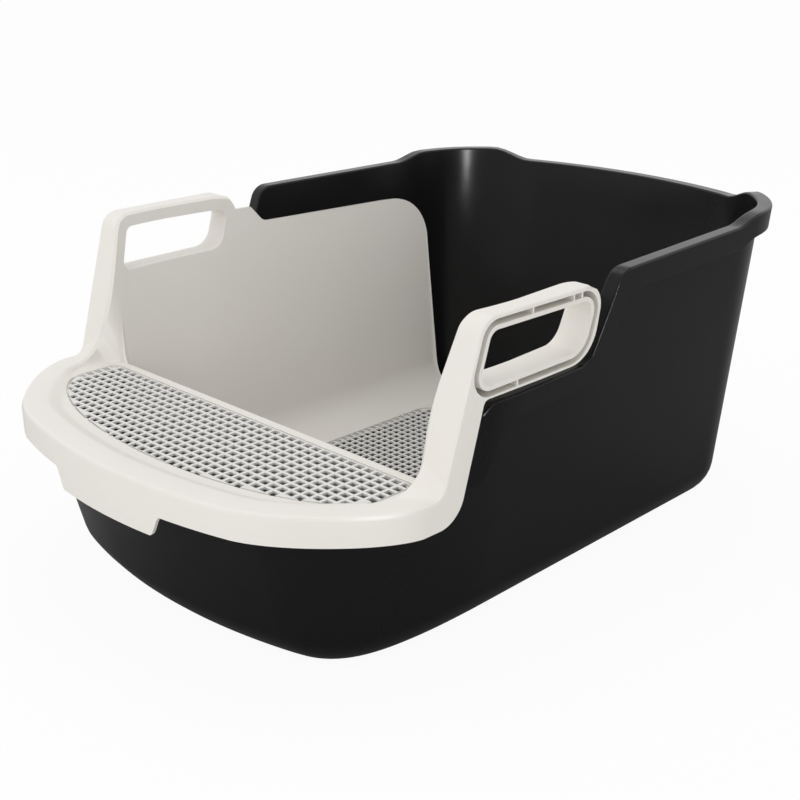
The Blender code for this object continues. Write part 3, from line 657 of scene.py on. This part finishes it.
def leg_section(p, q, normal, inner, inner_normal, grown):
    """A closed section of the leg or handle, from its outer edge p, its foot q and its inner edge.

    They are (y, z). Where the leg starts it is the lip's section, and it has grown into the leg's
    when grown is 1.
    """
    edge = lip_edge + (band_edge - lip_edge) * smooth_share(p[1] - lip_height, 0, 2 * lip_edge)
    turned = smooth_share(p[0], leg_twist_start, leg_twist_end)
    across = lip_inward(min(p[0], riser)) * (1 - turned) + np.array((-1, 0)) * turned
    rows = [(0, q), (0, p - normal * edge)]
    rows += [(edge * edge_share, p - normal * edge * edge_share), (edge, p)]
    outer = [(*(np.array((outer_x(y, z), y)) + across * inset), z) for inset, (y, z) in rows]

    # The lip's own rows: its flat, ramp and underside, measured from the inner edge.
    place = np.array((outer_x(p[0], lip_height), p[0]))
    brow_ridge = np.array((wall_x(*inner) + band_edge, inner[0]))
    ridge = (place + across * lip_flat) * (1 - grown) + brow_ridge * grown
    near = [(*(place + (ridge - place) * flat_share), lip_height), (*ridge, lip_height)]
    for share, down in ramp_shares:
        near.append((*(ridge + across * lip_ramp * share), lip_height - lip_rise * down))
    near += [(*(ridge + across * lip_ramp), z) for z in (shelf_height, shelf_height - sheet)]
    near.append((*(place + across * sheet), lip_height - sheet))

    # The leg's: a rounded edge, and an inner face with a fillet where it stands on the shelf.
    brow = inner - inner_normal * band_edge
    raised = smooth_share(q[1], lip_height - skirt_depth, shelf_height)
    behind = inner[0] + (q[0] - inner[0]) * raised
    fillet = shelf_fillet * (1 - smooth_share(behind, riser - 2 * riser_corner, riser - sheet))
    if q[1] < shelf_height - sheet / 2:
        low, high = shelf_height, min(shelf_height + max(fillet, sheet), brow[1] - edge_clearance)
        heights = [low + (high - low) * (1 - share) for share in round_shares[::-1]]
        drops = [(behind, z) for z in (*heights, max(q[1], low - sheet))]
    else:
        shares = np.linspace(edge_share, 0, len(round_shares) + 1)
        drops = [q + (inner - q) * share for share in shares]
    insets = [fillet * (1 - share) for share in round_shares] + [fillet]
    far = [(wall_x(*inner) + band_edge, *inner), (wall_x(*brow), *brow)]
    far += [(wall_x(y, z) - inset, y, z) for inset, (y, z) in zip(insets, drops)]
    under = drops[-1]
    far.append((outer_x(q[0], under[1]) - sheet, q[0], under[1]))
    middle = [tuple(a) for a in np.array(near) * (1 - grown) + np.array(far) * grown]
    last = np.array((outer_x(*q), q[0])) + across * sheet
    return outer + middle + [(*last, q[1])]


def edge_normals(path):
    """The unit direction square to a polyline at each of its points."""
    along = np.gradient(path, axis=0)
    along /= np.linalg.norm(along, axis=1)[:, None]
    return np.stack([-along[:, 1], along[:, 0]], axis=1)


def make_outer_band():
    """The lip, both legs and both handles as one sweep round the front, with solid handles."""
    half = []
    marks = (0, tab_half, tab_half + tab_flare, lip_corner)
    for x in (0, *stations(marks, 3 * (tab_facets,))):
        place, inward = np.array((x, lip_front_y(x))), unit(np.array((-2 * front_bow * x, 1)))
        half.append(lip_section(place, inward, lip_height - skirt_depth - tab_drop(x)))
    beyond = (lip_outline[:, 0] > lip_corner + scan) & (lip_outline[:, 1] < leg_start - lip_edge)
    corner = lip_outline[beyond]
    for place in resample(corner, lip_corner_facets):
        half.append(lip_section(place, lip_inward(place[1]), lip_height - skirt_depth))
    lead, sweep, straight, bend, run = leg_stations
    first = np.array([(y, height_along(leg_foot_edge, y)) for y in leg_edge[:lead + 1, 0]])
    turn, rise = bend_facets + 2, bend_facets + 3
    curve = leg_foot_edge[:turn][leg_foot_edge[:turn, 0] > first[-1][0]]
    parts = [first, resample(np.vstack([first[-1], curve]), sweep + 1)[1:]]
    parts.append(resample(leg_foot_edge[turn - 1:rise], straight + 1)[1:])
    parts.append(resample(leg_foot_edge[rise - 1:], bend + run + 1)[1:])
    parts.append(resample(handle_foot_edge, handle_facets + 1)[1:])
    foot = np.vstack(parts)
    back = resample(handle_edge, handle_facets + 1)[1:]
    outer = np.vstack([leg_edge, back])
    # The top of the handle runs further back along its inner side, and rounds over its last third.
    turn = np.clip(np.linspace(-2, 1, len(back)), 0, 1) * handle_inner_turn
    further = np.column_stack([np.sin(turn), np.cos(turn) - 1]) * handle_inner_radius
    inner = np.vstack([leg_inner_edge, back + further])
    grown = smooth_share(np.arange(len(outer)), 0, lead)
    for section in zip(outer, foot, edge_normals(outer), inner, edge_normals(inner), grown):
        half.append(leg_section(*section))
    left = [[(-x, y, z) for x, y, z in section] for section in half[:0:-1]]
    return loft("tray_moulding", left + half)


# The edge of the step and side walls in side view: everything of the basin above it is cut away.
basin_reach = 2 * wall_rear
basin_edge = rounded(
    [
        (-basin_reach, shelf_height - sheet / 2, 0),
        (riser, shelf_height - sheet / 2, riser_crest),
        (wall_front, wall_shoulder, wall_front_radius),
        (shoulder_rear, wall_shoulder, shoulder_radius),
        (wall_step, wall_top, wall_step_radius),
        (wall_bend, wall_top_rear, wall_bend_radius),
        (
            wall_rear - wall_rear_lean - wall_rear_drop,
            wall_top_rear - wall_rear_drop,
            wall_rear_radius,
        ),
        (wall_rear - wall_rear_drop, tray_floor + rear_lip, rear_lip_radius),
        (basin_reach, tray_floor + rear_lip, 0),
    ]
)


def basin_ring(z, grow, grow_ends):
    """A level ring of the basin's inner face, moved out by grow at the sides, or at the ends."""
    front = riser + riser_draft * (1 - z / shelf_height) - grow_ends
    rear = wall_rear + grow_ends
    side = lambda y: wall_x(y, z) + grow
    straight = np.linspace(0, side(front) - riser_corner - sheet, riser_points)
    half = [(x, front) for x in straight[:-1]]
    radius = max(riser_corner + grow, least_radius)
    half += quarter_arc((side(front + radius) - radius, front + radius), radius, -1)
    straight = np.linspace(riser + 2 * riser_corner, wall_rear - 2 * wall_rear_corner, side_facets)
    half += [(side(y), y) for y in straight]
    radius = max(wall_rear_corner + grow, least_radius)
    half += quarter_arc((side(rear - radius) - radius, rear - radius), radius)
    return whole(np.array([*half, (0, rear)]))


def make_basin():
    """The step's riser, the side walls and the floor as one shell, cut along the walls' edge."""

    def fillet(grow):
        made, radius = [], tray_fillet + grow
        for along, up in quarter(fillet_facets):
            z = tray_floor - grow + radius * (1 - up)
            inset = radius * (1 - along)
            plan = basin_ring(z, grow - inset, grow - inset * riser_fillet / tray_fillet)
            made.append(ring(plan, z))
        return made

    rings = fillet(sheet)[::-1]
    rings.append(ring(basin_ring(handle_top, sheet, sheet), handle_top))
    rings.append(ring(basin_ring(handle_top, 0, 0), handle_top))
    rings += fillet(0)
    basin = loft("basin", rings)
    loop = [tuple(point) for point in basin_edge]
    loop += [(basin_reach, 2 * handle_top), (-basin_reach, 2 * handle_top)]
    reach = 2 * top_half_front
    above = loft("above", [[(x, y, z) for y, z in loop] for x in (-reach, reach)])
    return combine(basin, above, "DIFFERENCE", "EXACT")


def prism(name, outline, low, high):
    """A closed prism of a plan outline between two heights."""
    return loft(name, [ring(np.array(outline), low), ring(np.array(outline), high)])


def d_outline(margin=0.0):
    """The step opening: straight at the back, half an ellipse in front, drawn in by a margin."""
    back, half = step_rear - margin, step_half - margin
    deep = step_middle - step_front - margin
    right = [(half * up, step_middle - deep * along) for along, up in quarter(3 * arc_facets)]
    right += quarter_arc((half - step_corner, back - step_corner), step_corner)[1:]
    return whole(np.array([*right, (0, back)]))


def floor_outline(margin=0.0):
    """The floor opening, a rectangle with rounded corners, drawn in by a margin."""
    half, radius = floor_open_half - margin, floor_open_corner
    front, back = floor_open_front + margin, floor_open_rear - margin
    right = [(0, front), *quarter_arc((half - radius, front + radius), radius, -1)]
    right += quarter_arc((half - radius, back - radius), radius)
    return whole(np.array([*right, (0, back)]))


def hole_outline(grow=0.0):
    """The finger hole in side view, as (y, z) from its front bottom corner up, grown by grow."""
    corners = (
        (hole_front_low, hole_low, hole_radius),
        (hole_front_high, hole_high, hole_radius),
        (hole_rear_high, hole_high - scan, hole_radius),
        (hole_rear_low, hole_low + scan, hole_rear_radius),
    )
    places = [np.array(corner[:2]) for corner in corners]
    points = []
    for before, here, after, corner in zip(
        (places[-1], *places), places, (*places[1:], places[0]), corners
    ):
        points += corner_arc(before, here, after, corner[2], hole_facets, grow)
    return np.array(points)


def side_prism(name, loop, inner, outer, side, near_loop=None):
    """A prism through a side, from a (y, z) loop, or from two. Inner and outer give x at (y, z)."""
    near = [(side * inner(y, z), y, z) for y, z in (loop if near_loop is None else near_loop)]
    far = [(side * outer(y, z), y, z) for y, z in loop]
    return loft(name, [near, far])


def channel_cutters(side):
    """The channel round a handle's tube, in lengths that leave the ribs standing."""
    inner, outer = hole_outline(tube_wall), hole_outline(tube_wall + channel_width)
    runs, run = [], []
    for a, b, c, d in zip(inner, np.roll(inner, -1, axis=0), outer, np.roll(outer, -1, axis=0)):
        spans = [(0.0, 1.0)]
        length = b[0] - a[0]
        # The two long runs carry the ribs: the first along the top, the other along the bottom.
        if abs(length) > 2 * hole_radius:
            for y in top_ribs if length > 0 else low_ribs:
                share, half = (y - a[0]) / length, rib_width / 2 / abs(length)
                start, end = spans.pop()
                spans += [(start, share - half), (share + half, end)]
        for start, end in spans:
            ends = [(a + (b - a) * t, c + (d - c) * t) for t in (start, end)]
            if start > 0:
                runs.append(run)
                run = []
            run += ends if not run else ends[1:]
    # The last length runs on into the first.
    runs[0] = run + runs[0][1:]
    back = lambda p: (side * (wall_x(*p) + sheet), *p)
    front = lambda p: (side * (outer_x(*p) + sheet), *p)
    made = []
    for run in runs:
        rings = [[back(near), back(far), front(far), front(near)] for near, far in run]
        made.append(loft("channel", rings))
    return made


def pocket_loop(path):
    """The pocket's outline in side view behind one of the leg's edges."""
    edge = resample(path, pocket_scan)
    front = edge - edge_normals(edge) * sheet
    top, base = handle_low - leg_pocket_top, shelf_height - shelf_clear
    y, z = front.T
    front = front[(y > leg_pocket_front) & (z < top) & (z > lip_height)]
    loop = [(front[0][0], base), *map(tuple, resample(front, pocket_facets))]
    return loop + [(front[-1][0] + sheet, top), (leg_pocket_rear, top), (leg_pocket_rear, base)]


def leg_pocket(side):
    """The hollow behind a leg, open below and at the back, with a front wall that follows it."""
    inner = lambda y, z: wall_x(y, z) + leg_pocket_wall
    outer = lambda y, z: outer_x(y, z) - sheet
    return side_prism("pocket", pocket_loop(leg_edge), inner, outer, side)


def make_tray():
    """The entry tray: the band, the plate inside the lip and the basin, joined and then cut."""
    tray = make_outer_band()
    corner = basin_ring(shelf_height - sheet / 2, -plate_drop, -plate_drop)
    count = len(corner) // 2 + 1
    half = [point for point in corner[:count] if point[1] < riser + 2 * riser_corner]
    edge = resample(lip_outline[lip_outline[:, 1] < plate_corner], plate_points)
    edge = edge + edge_normals(edge) * (lip_flat + lip_ramp / 2)
    edge[0] = (0, lip_flat + lip_ramp / 2 - lip_front)
    bound = lambda y: wall_x(min(y, riser - riser_corner / 2), shelf_height) + sheet / 2
    edge = [(min(x, bound(y)), y) for x, y in edge]
    edge.append((wall_x(plate_rear, shelf_height) + sheet / 2, plate_rear))
    right = edge + [tuple(point) for point in half[::-1]]
    plan, top = whole(np.array(right)), shelf_height - plate_drop
    plate = prism("plate", plan, shelf_height - sheet + plate_drop, top)
    combine(tray, plate, "UNION")
    combine(tray, make_basin(), "UNION")
    for side in (1, -1):
        combine(tray, leg_pocket(side), "DIFFERENCE")
        for cutter in channel_cutters(side):
            combine(tray, cutter, "DIFFERENCE")
        inner = lambda y, z: wall_x(y, z) - cutter_reach
        outer = lambda y, z: outer_x(y, z) + cutter_reach
        hole = side_prism("hole", hole_outline(), inner, outer, side, hole_outline(-hole_draft))
        combine(tray, hole, "DIFFERENCE")
    for outline, z in ((d_outline, shelf_height), (floor_outline, tray_floor)):
        recess = prism("recess", outline(), z - ledge_drop, z + cutter_reach)
        combine(tray, recess, "DIFFERENCE")
        opening = prism("opening", outline(ledge), z - cutter_reach, z + cutter_reach)
        combine(tray, opening, "DIFFERENCE")
    return tray


def linear(code):
    """The linear colour of an sRGB hex value."""
    shares = [int(code[i : i + 2], 16) / 255 for i in (0, 2, 4)]
    return tuple(s / 12.92 if s <= 0.04045 else ((s + 0.055) / 1.055) ** 2.4 for s in shares)


def add(tree, kind, settings=None, links=None):
    """Adds one shader node, sets its options and sockets, and joins what feeds it."""
    node = tree.nodes.new("ShaderNode" + kind)
    for name, value in (settings or {}).items():
        if hasattr(node, name):
            setattr(node, name, value)
        else:
            node.inputs[name].default_value = value
    for name, source in (links or {}).items():
        tree.links.new(source, node.inputs[name])
    return node


def new_material(name):
    material = bpy.data.materials.new(name)
    material.use_nodes = True
    tree = material.node_tree
    tree.nodes.clear()
    return material, tree


# How rough and how deep the noise is for a fine grain and for slow waves.
grain_noise = {"Detail": 2.0, "Roughness": 0.6}
wave_noise = {"Detail": 1.0, "Roughness": 0.4}


def blended(tree, tones, share):
    """The colour between two sRGB hex values at a share."""
    tone = add(tree, "Mix", {"data_type": "RGBA"}, {"Factor": share})
    for socket, code in zip((6, 7), tones):
        tone.inputs[socket].default_value = (*linear(code), 1)
    return tone.outputs[2]


def polypropylene(tree, tones, share, settings, links):
    """Joins two close tones, with the gloss and relief given, into the plastic's shader."""
    links = {"Base Color": blended(tree, tones, share), **links}
    shader = add(tree, "BsdfPrincipled", {"IOR": 1.49, **settings}, links)
    add(tree, "OutputMaterial", links={"Surface": shader.outputs["BSDF"]})


def black_polypropylene():
    """Injection-moulded polypropylene, black: a soft semi-gloss with a fine spark-eroded grain."""
    gloss = bpy.context.scene.litter_box_colours.pan_roughness
    material, tree = new_material("black_moulded_polypropylene")
    place = {"Vector": add(tree, "TexCoord").outputs["Object"]}
    # Grain left by the tool's spark-eroded face, really 0.1 mm; drawn at 0.9 mm so that it shows.
    grain = add(tree, "TexNoise", {"Scale": 1100.0, **grain_noise}, place).outputs["Fac"]
    # Slow waves where thick and thin walls cooled at different rates, about 60 mm apart.
    waves = add(tree, "TexNoise", {"Scale": 16.0, **wave_noise}, place).outputs["Fac"]
    fine = add(tree, "Bump", {"Strength": 0.10, "Distance": 0.0002}, {"Height": grain})
    below = {"Height": waves, "Normal": fine.outputs["Normal"]}
    slow = add(tree, "Bump", {"Strength": 0.25, "Distance": 0.0012}, below)
    # Handling leaves the face a little glossier in patches.
    patches = {"From Min": 0.3, "From Max": 0.7, "To Min": gloss - 0.03, "To Max": gloss + 0.04}
    rough = add(tree, "MapRange", patches, {"Value": waves})
    # Its gloss is held down, as the photo's black is deeper than the plastic's usual sheen.
    settings = {"Specular IOR Level": 0.2}
    links = {"Roughness": rough.outputs["Result"], "Normal": slow.outputs["Normal"]}
    polypropylene(tree, ("111112", "19191A"), grain, settings, links)
    return material


def ivory_polypropylene():
    """Injection-moulded polypropylene, warm ivory: satin, with tones that drift a little."""
    material, tree = new_material("ivory_moulded_polypropylene")
    place = {"Vector": add(tree, "TexCoord").outputs["Object"]}
    # The same grain and cooling waves as the pan's, fainter: 0.8 mm and about 55 mm.
    grain = add(tree, "TexNoise", {"Scale": 1300.0, **grain_noise}, place).outputs["Fac"]
    waves = add(tree, "TexNoise", {"Scale": 18.0, **wave_noise}, place).outputs["Fac"]
    fine = add(tree, "Bump", {"Strength": 0.08, "Distance": 0.00015}, {"Height": grain})
    below = {"Height": waves, "Normal": fine.outputs["Normal"]}
    slow = add(tree, "Bump", {"Strength": 0.20, "Distance": 0.0008}, below)
    settings = {"Specular IOR Level": 0.4, "Roughness": 0.42}
    links = {"Normal": slow.outputs["Normal"]}
    polypropylene(tree, ("E9E5E0", "E7E4DD"), waves, settings, links)
    return material


def grey_polypropylene():
    """Moulded polypropylene of the grates, cooler than the tray's: satin strands, fine grain."""
    material, tree = new_material("pale_grey_moulded_polypropylene")
    place = {"Vector": add(tree, "TexCoord").outputs["Object"]}
    # Grain as on the tray, 0.7 mm, so that a strand shows some of it.
    grain = add(tree, "TexNoise", {"Scale": 1500.0, **grain_noise}, place).outputs["Fac"]
    fine = add(tree, "Bump", {"Strength": 0.08, "Distance": 0.00015}, {"Height": grain})
    settings = {"Specular IOR Level": 0.4, "Roughness": 0.4}
    links = {"Normal": fine.outputs["Normal"]}
    polypropylene(tree, ("DEDDDA", "E3E2DF"), grain, settings, links)
    return material


def shown(obj, material, body, nodes):
    """Gives a finished piece its material, ties it to its body and hides the nodes that it stands
    for.
    """
    obj.data.materials.clear()
    obj.data.materials.append(material)
    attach(obj, body)
    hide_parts(*nodes)
    return obj


def smoothed(obj, angle=32.0):
    """Smooth shading with crisp edges only where two faces meet at more than this angle."""
    obj.data.shade_smooth()
    obj.data.set_sharp_from_angle(angle=math.radians(angle))
    weighted = obj.modifiers.new("even_shading", "WEIGHTED_NORMAL")
    weighted.keep_sharp = True
    return obj


def inside(outline, x, y):
    """Whether a point of the plan lies within a closed outline."""
    a, b = outline, np.roll(outline, -1, axis=0)
    crossing = (a[:, 1] > y) != (b[:, 1] > y)
    with np.errstate(divide="ignore", invalid="ignore"):
        where = a[:, 0] + (y - a[:, 1]) * (b[:, 0] - a[:, 0]) / (b[:, 1] - a[:, 1])
    return (crossing & (x < where)).sum() % 2 == 1


def thicken(bm, depth):
    """Gives a flat sheet its depth, downwards."""
    made = bmesh.ops.extrude_face_region(bm, geom=bm.faces[:])
    under = [part for part in made["geom"] if isinstance(part, bmesh.types.BMVert)]
    bmesh.ops.translate(bm, verts=under, vec=(0, 0, -depth))
    bmesh.ops.recalc_face_normals(bm, faces=bm.faces[:])


def perforated(name, outline, corner, cells, pitch, strand, top, depth):
    """A flat panel with a grid of openings, which a thin border cuts off along its outline."""
    bm = bmesh.new()
    size = (cells[0] * pitch[0], cells[1] * pitch[1])
    centre = Vector((corner[0] + size[0] / 2, corner[1] + size[1] / 2, top))
    matrix = Matrix.Translation(centre) @ Matrix.Diagonal((*size, 1, 1))
    bmesh.ops.create_grid(bm, x_segments=cells[0], y_segments=cells[1], size=0.5, matrix=matrix)
    inner = outline(grate_gap + grate_border)
    openings = [face for face in bm.faces if inside(inner, *face.calc_center_median().xy)]
    bmesh.ops.inset_individual(bm, faces=openings, thickness=strand / 2, use_even_offset=True)
    bmesh.ops.delete(bm, geom=openings, context="FACES")
    for here, after in zip(inner, np.roll(inner, -1, axis=0)):
        bmesh.ops.bisect_plane(
            bm,
            geom=bm.verts[:] + bm.edges[:] + bm.faces[:],
            dist=on_plane,
            plane_co=(*here, top),
            plane_no=(after[1] - here[1], here[0] - after[0], 0),
            clear_outer=True,
        )
    thicken(bm, depth)
    border = bmesh.new()
    rim = border.faces.new([border.verts.new((x, y, top)) for x, y in outline(grate_gap)])
    bmesh.ops.inset_region(border, faces=[rim], thickness=grate_border, use_even_offset=True)
    bmesh.ops.delete(border, geom=[rim], context="FACES")
    thicken(border, depth)
    spare = bpy.data.meshes.new("spare")
    border.to_mesh(spare)
    border.free()
    bm.from_mesh(spare)
    bpy.data.meshes.remove(spare)
    return placed(name, bm)


class LitterBoxGrates(PropertyGroup):
    """Sizes of the two perforated grates."""

    step_pitch_x: FloatProperty(
        name="Step pitch across", default=0.0084, unit="LENGTH",
        description="Distance between openings of the step grate, across the box",
    )
    step_pitch_y: FloatProperty(
        name="Step pitch along", default=0.00736, unit="LENGTH",
        description="Distance between rows of the step grate, along the box",
    )
    step_row: FloatProperty(
        name="Step row place", default=-0.1995, unit="LENGTH",
        description="Where the middle of one row of the step grate's openings lies",
    )
    step_strand: FloatProperty(
        name="Step strand width", default=0.0023, unit="LENGTH",
        description="Width of the step grate's strands",
    )
    step_depth: FloatProperty(
        name="Step grate depth", default=0.0015, unit="LENGTH",
        description="How deep the step grate's openings are",
    )
    floor_pitch: FloatProperty(
        name="Floor pitch", default=0.0073, unit="LENGTH",
        description="Distance between openings of the floor grate",
    )
    floor_strand: FloatProperty(
        name="Floor strand width", default=0.0021, unit="LENGTH",
        description="Width of the floor grate's strands",
    )
    floor_depth: FloatProperty(
        name="Floor grate depth", default=0.0014, unit="LENGTH",
        description="How deep the floor grate's openings are",
    )


class LitterBoxColours(PropertyGroup):
    """Finishes that a user would change."""

    pan_roughness: FloatProperty(
        name="Pan roughness", default=0.21, min=0.05, max=1.0,
        description="Roughness of the black pan",
    )


class LitterBoxStage(PropertyGroup):
    """Camera and lamps."""

    camera_place: FloatVectorProperty(
        name="Camera place", default=(0.7119, -0.7413, 0.4851),
        subtype="TRANSLATION", unit="LENGTH",
        description="Where the camera stands",
    )
    camera_turn: FloatProperty(
        name="Camera turn", default=math.radians(44.68), subtype="ANGLE",
        description="Camera's turn about the vertical",
    )
    camera_tilt: FloatProperty(
        name="Camera tilt", default=math.radians(20.84), subtype="ANGLE",
        description="How far the camera looks below the horizon",
    )
    lens: FloatProperty(
        name="Lens", default=61.87, min=10, max=300,
        description="Focal length in millimetres on a 36 mm sensor",
    )
    sky: FloatProperty(
        name="Room light", default=0.77, min=0, max=2,
        description="Strength of the even light from all round",
    )
    top_softbox: FloatProperty(
        name="Top lamp", default=6.5, unit="POWER",
        description="Power of the wide lamp overhead",
    )
    front_softbox: FloatProperty(
        name="Front lamp", default=7.0, unit="POWER",
        description="Power of the wide lamp in front",
    )
    right_strip: FloatProperty(
        name="Strip lamp", default=22.0, unit="POWER",
        description="Power of the narrow lamp on the right",
    )
    right_softbox: FloatProperty(
        name="Right lamp", default=2.6, unit="POWER",
        description="Power of the wide lamp on the right",
    )


class LITTERBOX_OT_pan(Operator):
    """Adds the black pan's smooth moulding"""

    bl_idname = "litterbox.pan"
    bl_label = "Litter pan"

    def execute(self, context):
        shown(smoothed(make_pan()), black_polypropylene(), "pan", ["litter_pan"])
        return {"FINISHED"}


class LITTERBOX_OT_tray(Operator):
    """Adds the ivory entry tray with its lip, side walls and loop handles"""

    bl_idname = "litterbox.tray"
    bl_label = "Entry tray"

    def execute(self, context):
        shown(smoothed(make_tray()), ivory_polypropylene(), "tray", ["entry_tray"])
        return {"FINISHED"}


class LITTERBOX_OT_step_grate(Operator):
    """Adds the D-shaped grate of the entry step"""

    bl_idname = "litterbox.step_grate"
    bl_label = "Step grate"

    def execute(self, context):
        sizes = context.scene.litter_box_grates
        pitch = (sizes.step_pitch_x, sizes.step_pitch_y)
        corner = (-step_cells[0] * pitch[0] / 2, sizes.step_row - step_row_cells * pitch[1])
        panel = perforated(
            "step_grate_panel", d_outline, corner, step_cells, pitch, sizes.step_strand,
            step_high.z, sizes.step_depth,
        )
        shown(panel, grey_polypropylene(), "tray", ["step_grate"])
        return {"FINISHED"}


class LITTERBOX_OT_floor_grate(Operator):
    """Adds the rectangular grate of the tray's floor"""

    bl_idname = "litterbox.floor_grate"
    bl_label = "Floor grate"

    def execute(self, context):
        sizes = context.scene.litter_box_grates
        pitch = (sizes.floor_pitch, sizes.floor_pitch)
        corner = (-floor_cells[0] * pitch[0] / 2, floor_high.y - floor_last_cells * pitch[1])
        panel = perforated(
            "floor_grate_panel", floor_outline, corner, floor_cells, pitch, sizes.floor_strand,
            floor_high.z, sizes.floor_depth,
        )
        shown(panel, grey_polypropylene(), "tray", ["floor_grate"])
        return {"FINISHED"}


# The studio floor's half width, how far it lies below the box and how white the camera sees it.
floor_reach = 30.0
floor_drop = 0.0002
floor_white = 0.94

# The camera's sensor in millimetres, and how near to it anything shows.
sensor_width = 36
near_clip = 0.05

# Each lamp: where it stands, its width and height, and the kind of ray that doesn't see it.
# The strip leaves the upright highlight in the pan's far corner, and gives no other light.
lamp_target = Vector((0, 0, 0.12))
lamps = (
    ("top_softbox", (-0.3, 0.2, 1.9), (1.3, 1.3), None),
    ("front_softbox", (-0.3, -2.1, 0.60), (1.3, 0.9), "visible_glossy"),
    ("right_strip", (1.61, -0.91, 0.34), (0.15, 0.5), "visible_diffuse"),
    ("right_softbox", (1.6, -0.9, 0.6), (0.8, 0.8), "visible_glossy"),
)


def white_board():
    """Matt white board, which the camera sees nearly white, with the box's shadow left on it."""
    material, tree = new_material("matt_white_board")
    white = add(tree, "Emission", {"Color": (1, 1, 1, 1), "Strength": 1.0})
    rays = add(tree, "LightPath").outputs
    # The gloss of the black pan sees a greyer board, so that its walls stay dark.
    colour = blended(tree, ("F2F2F0", "9A9A9A"), rays["Is Glossy Ray"])
    board = add(tree, "BsdfDiffuse", links={"Color": colour})
    seen = add(tree, "Math", {"operation": "MULTIPLY"}, {0: rays["Is Camera Ray"]})
    seen.inputs[1].default_value = floor_white
    shaders = {0: seen.outputs[0], 1: board.outputs[0], 2: white.outputs[0]}
    both = add(tree, "MixShader", links=shaders)
    add(tree, "OutputMaterial", links={"Surface": both.outputs[0]})
    return material


def studio_room(strength):
    """Even light from all round, and plain white where the camera or a reflection looks past."""
    world = bpy.data.worlds.new("studio_room")
    world.use_nodes = True
    tree = world.node_tree
    tree.nodes.clear()
    even = add(tree, "Background", {"Color": (1, 1, 1, 1), "Strength": strength})
    white = add(tree, "Background", {"Color": (1, 1, 1, 1), "Strength": 1.0})
    rays = add(tree, "LightPath").outputs
    seen = rays["Is Camera Ray"]
    for kind in ("Is Glossy Ray", "Is Transmission Ray"):
        seen = add(tree, "Math", {"operation": "ADD"}, {0: seen, 1: rays[kind]}).outputs[0]
    room = add(tree, "MixShader", links={0: seen, 1: even.outputs[0], 2: white.outputs[0]})
    add(tree, "OutputWorld", links={"Surface": room.outputs[0]})
    return world


class LITTERBOX_OT_stage(Operator):
    """Sets the floor, the camera and the soft studio light"""

    bl_idname = "litterbox.stage"
    bl_label = "Stage"

    def execute(self, context):
        scene, stage = context.scene, context.scene.litter_box_stage
        bm = bmesh.new()
        bmesh.ops.create_grid(bm, x_segments=1, y_segments=1, size=floor_reach)
        floor = placed("studio_floor", bm)
        floor.location.z = -floor_drop
        floor.data.materials.append(white_board())
        scene.world = studio_room(stage.sky)
        for name, place, size, unseen in lamps:
            data = bpy.data.lights.new(name, "AREA")
            data.shape, data.size, data.size_y = "RECTANGLE", *size
            data.energy = getattr(stage, name)
            lamp = bpy.data.objects.new(name, data)
            lamp.location = place
            way = lamp_target - lamp.location
            lamp.rotation_euler = way.to_track_quat("-Z", "Y").to_euler()
            if unseen:
                setattr(lamp, unseen, False)
            scene.collection.objects.link(lamp)
        data = bpy.data.cameras.new("photo_camera")
        data.lens, data.sensor_width, data.clip_start = stage.lens, sensor_width, near_clip
        camera = bpy.data.objects.new("photo_camera", data)
        camera.location = stage.camera_place
        camera.rotation_euler = Euler((math.pi / 2 - stage.camera_tilt, 0, stage.camera_turn))
        scene.collection.objects.link(camera)
        scene.camera = camera
        scene.view_settings.view_transform = "Standard"
        return {"FINISHED"}


class LITTERBOX_PT_panel(Panel):
    """Lists the pieces and the stage"""

    bl_idname = "LITTERBOX_PT_panel"
    bl_label = "Litter box"
    bl_space_type = "VIEW_3D"
    bl_region_type = "UI"
    bl_category = "Litter Box"

    def draw(self, context):
        for operator in operators:
            self.layout.operator(operator.bl_idname)


groups = {
    "litter_box_grates": LitterBoxGrates,
    "litter_box_colours": LitterBoxColours,
    "litter_box_stage": LitterBoxStage,
}
operators = (
    LITTERBOX_OT_pan,
    LITTERBOX_OT_tray,
    LITTERBOX_OT_step_grate,
    LITTERBOX_OT_floor_grate,
    LITTERBOX_OT_stage,
)


def register():
    for made in (*groups.values(), *operators, LITTERBOX_PT_panel):
        bpy.utils.register_class(made)
    for name, group in groups.items():
        setattr(bpy.types.Scene, name, PointerProperty(type=group))


def unregister():
    for name in groups:
        delattr(bpy.types.Scene, name)
    for made in (LITTERBOX_PT_panel, *operators, *groups.values()):
        bpy.utils.unregister_class(made)


def main():
    """Registers the add-on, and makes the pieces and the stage."""
    register()
    bpy.ops.litterbox.pan()
    bpy.ops.litterbox.tray()
    bpy.ops.litterbox.step_grate()
    bpy.ops.litterbox.floor_grate()
    bpy.ops.litterbox.stage()


if __name__ == "__main__":
    main()
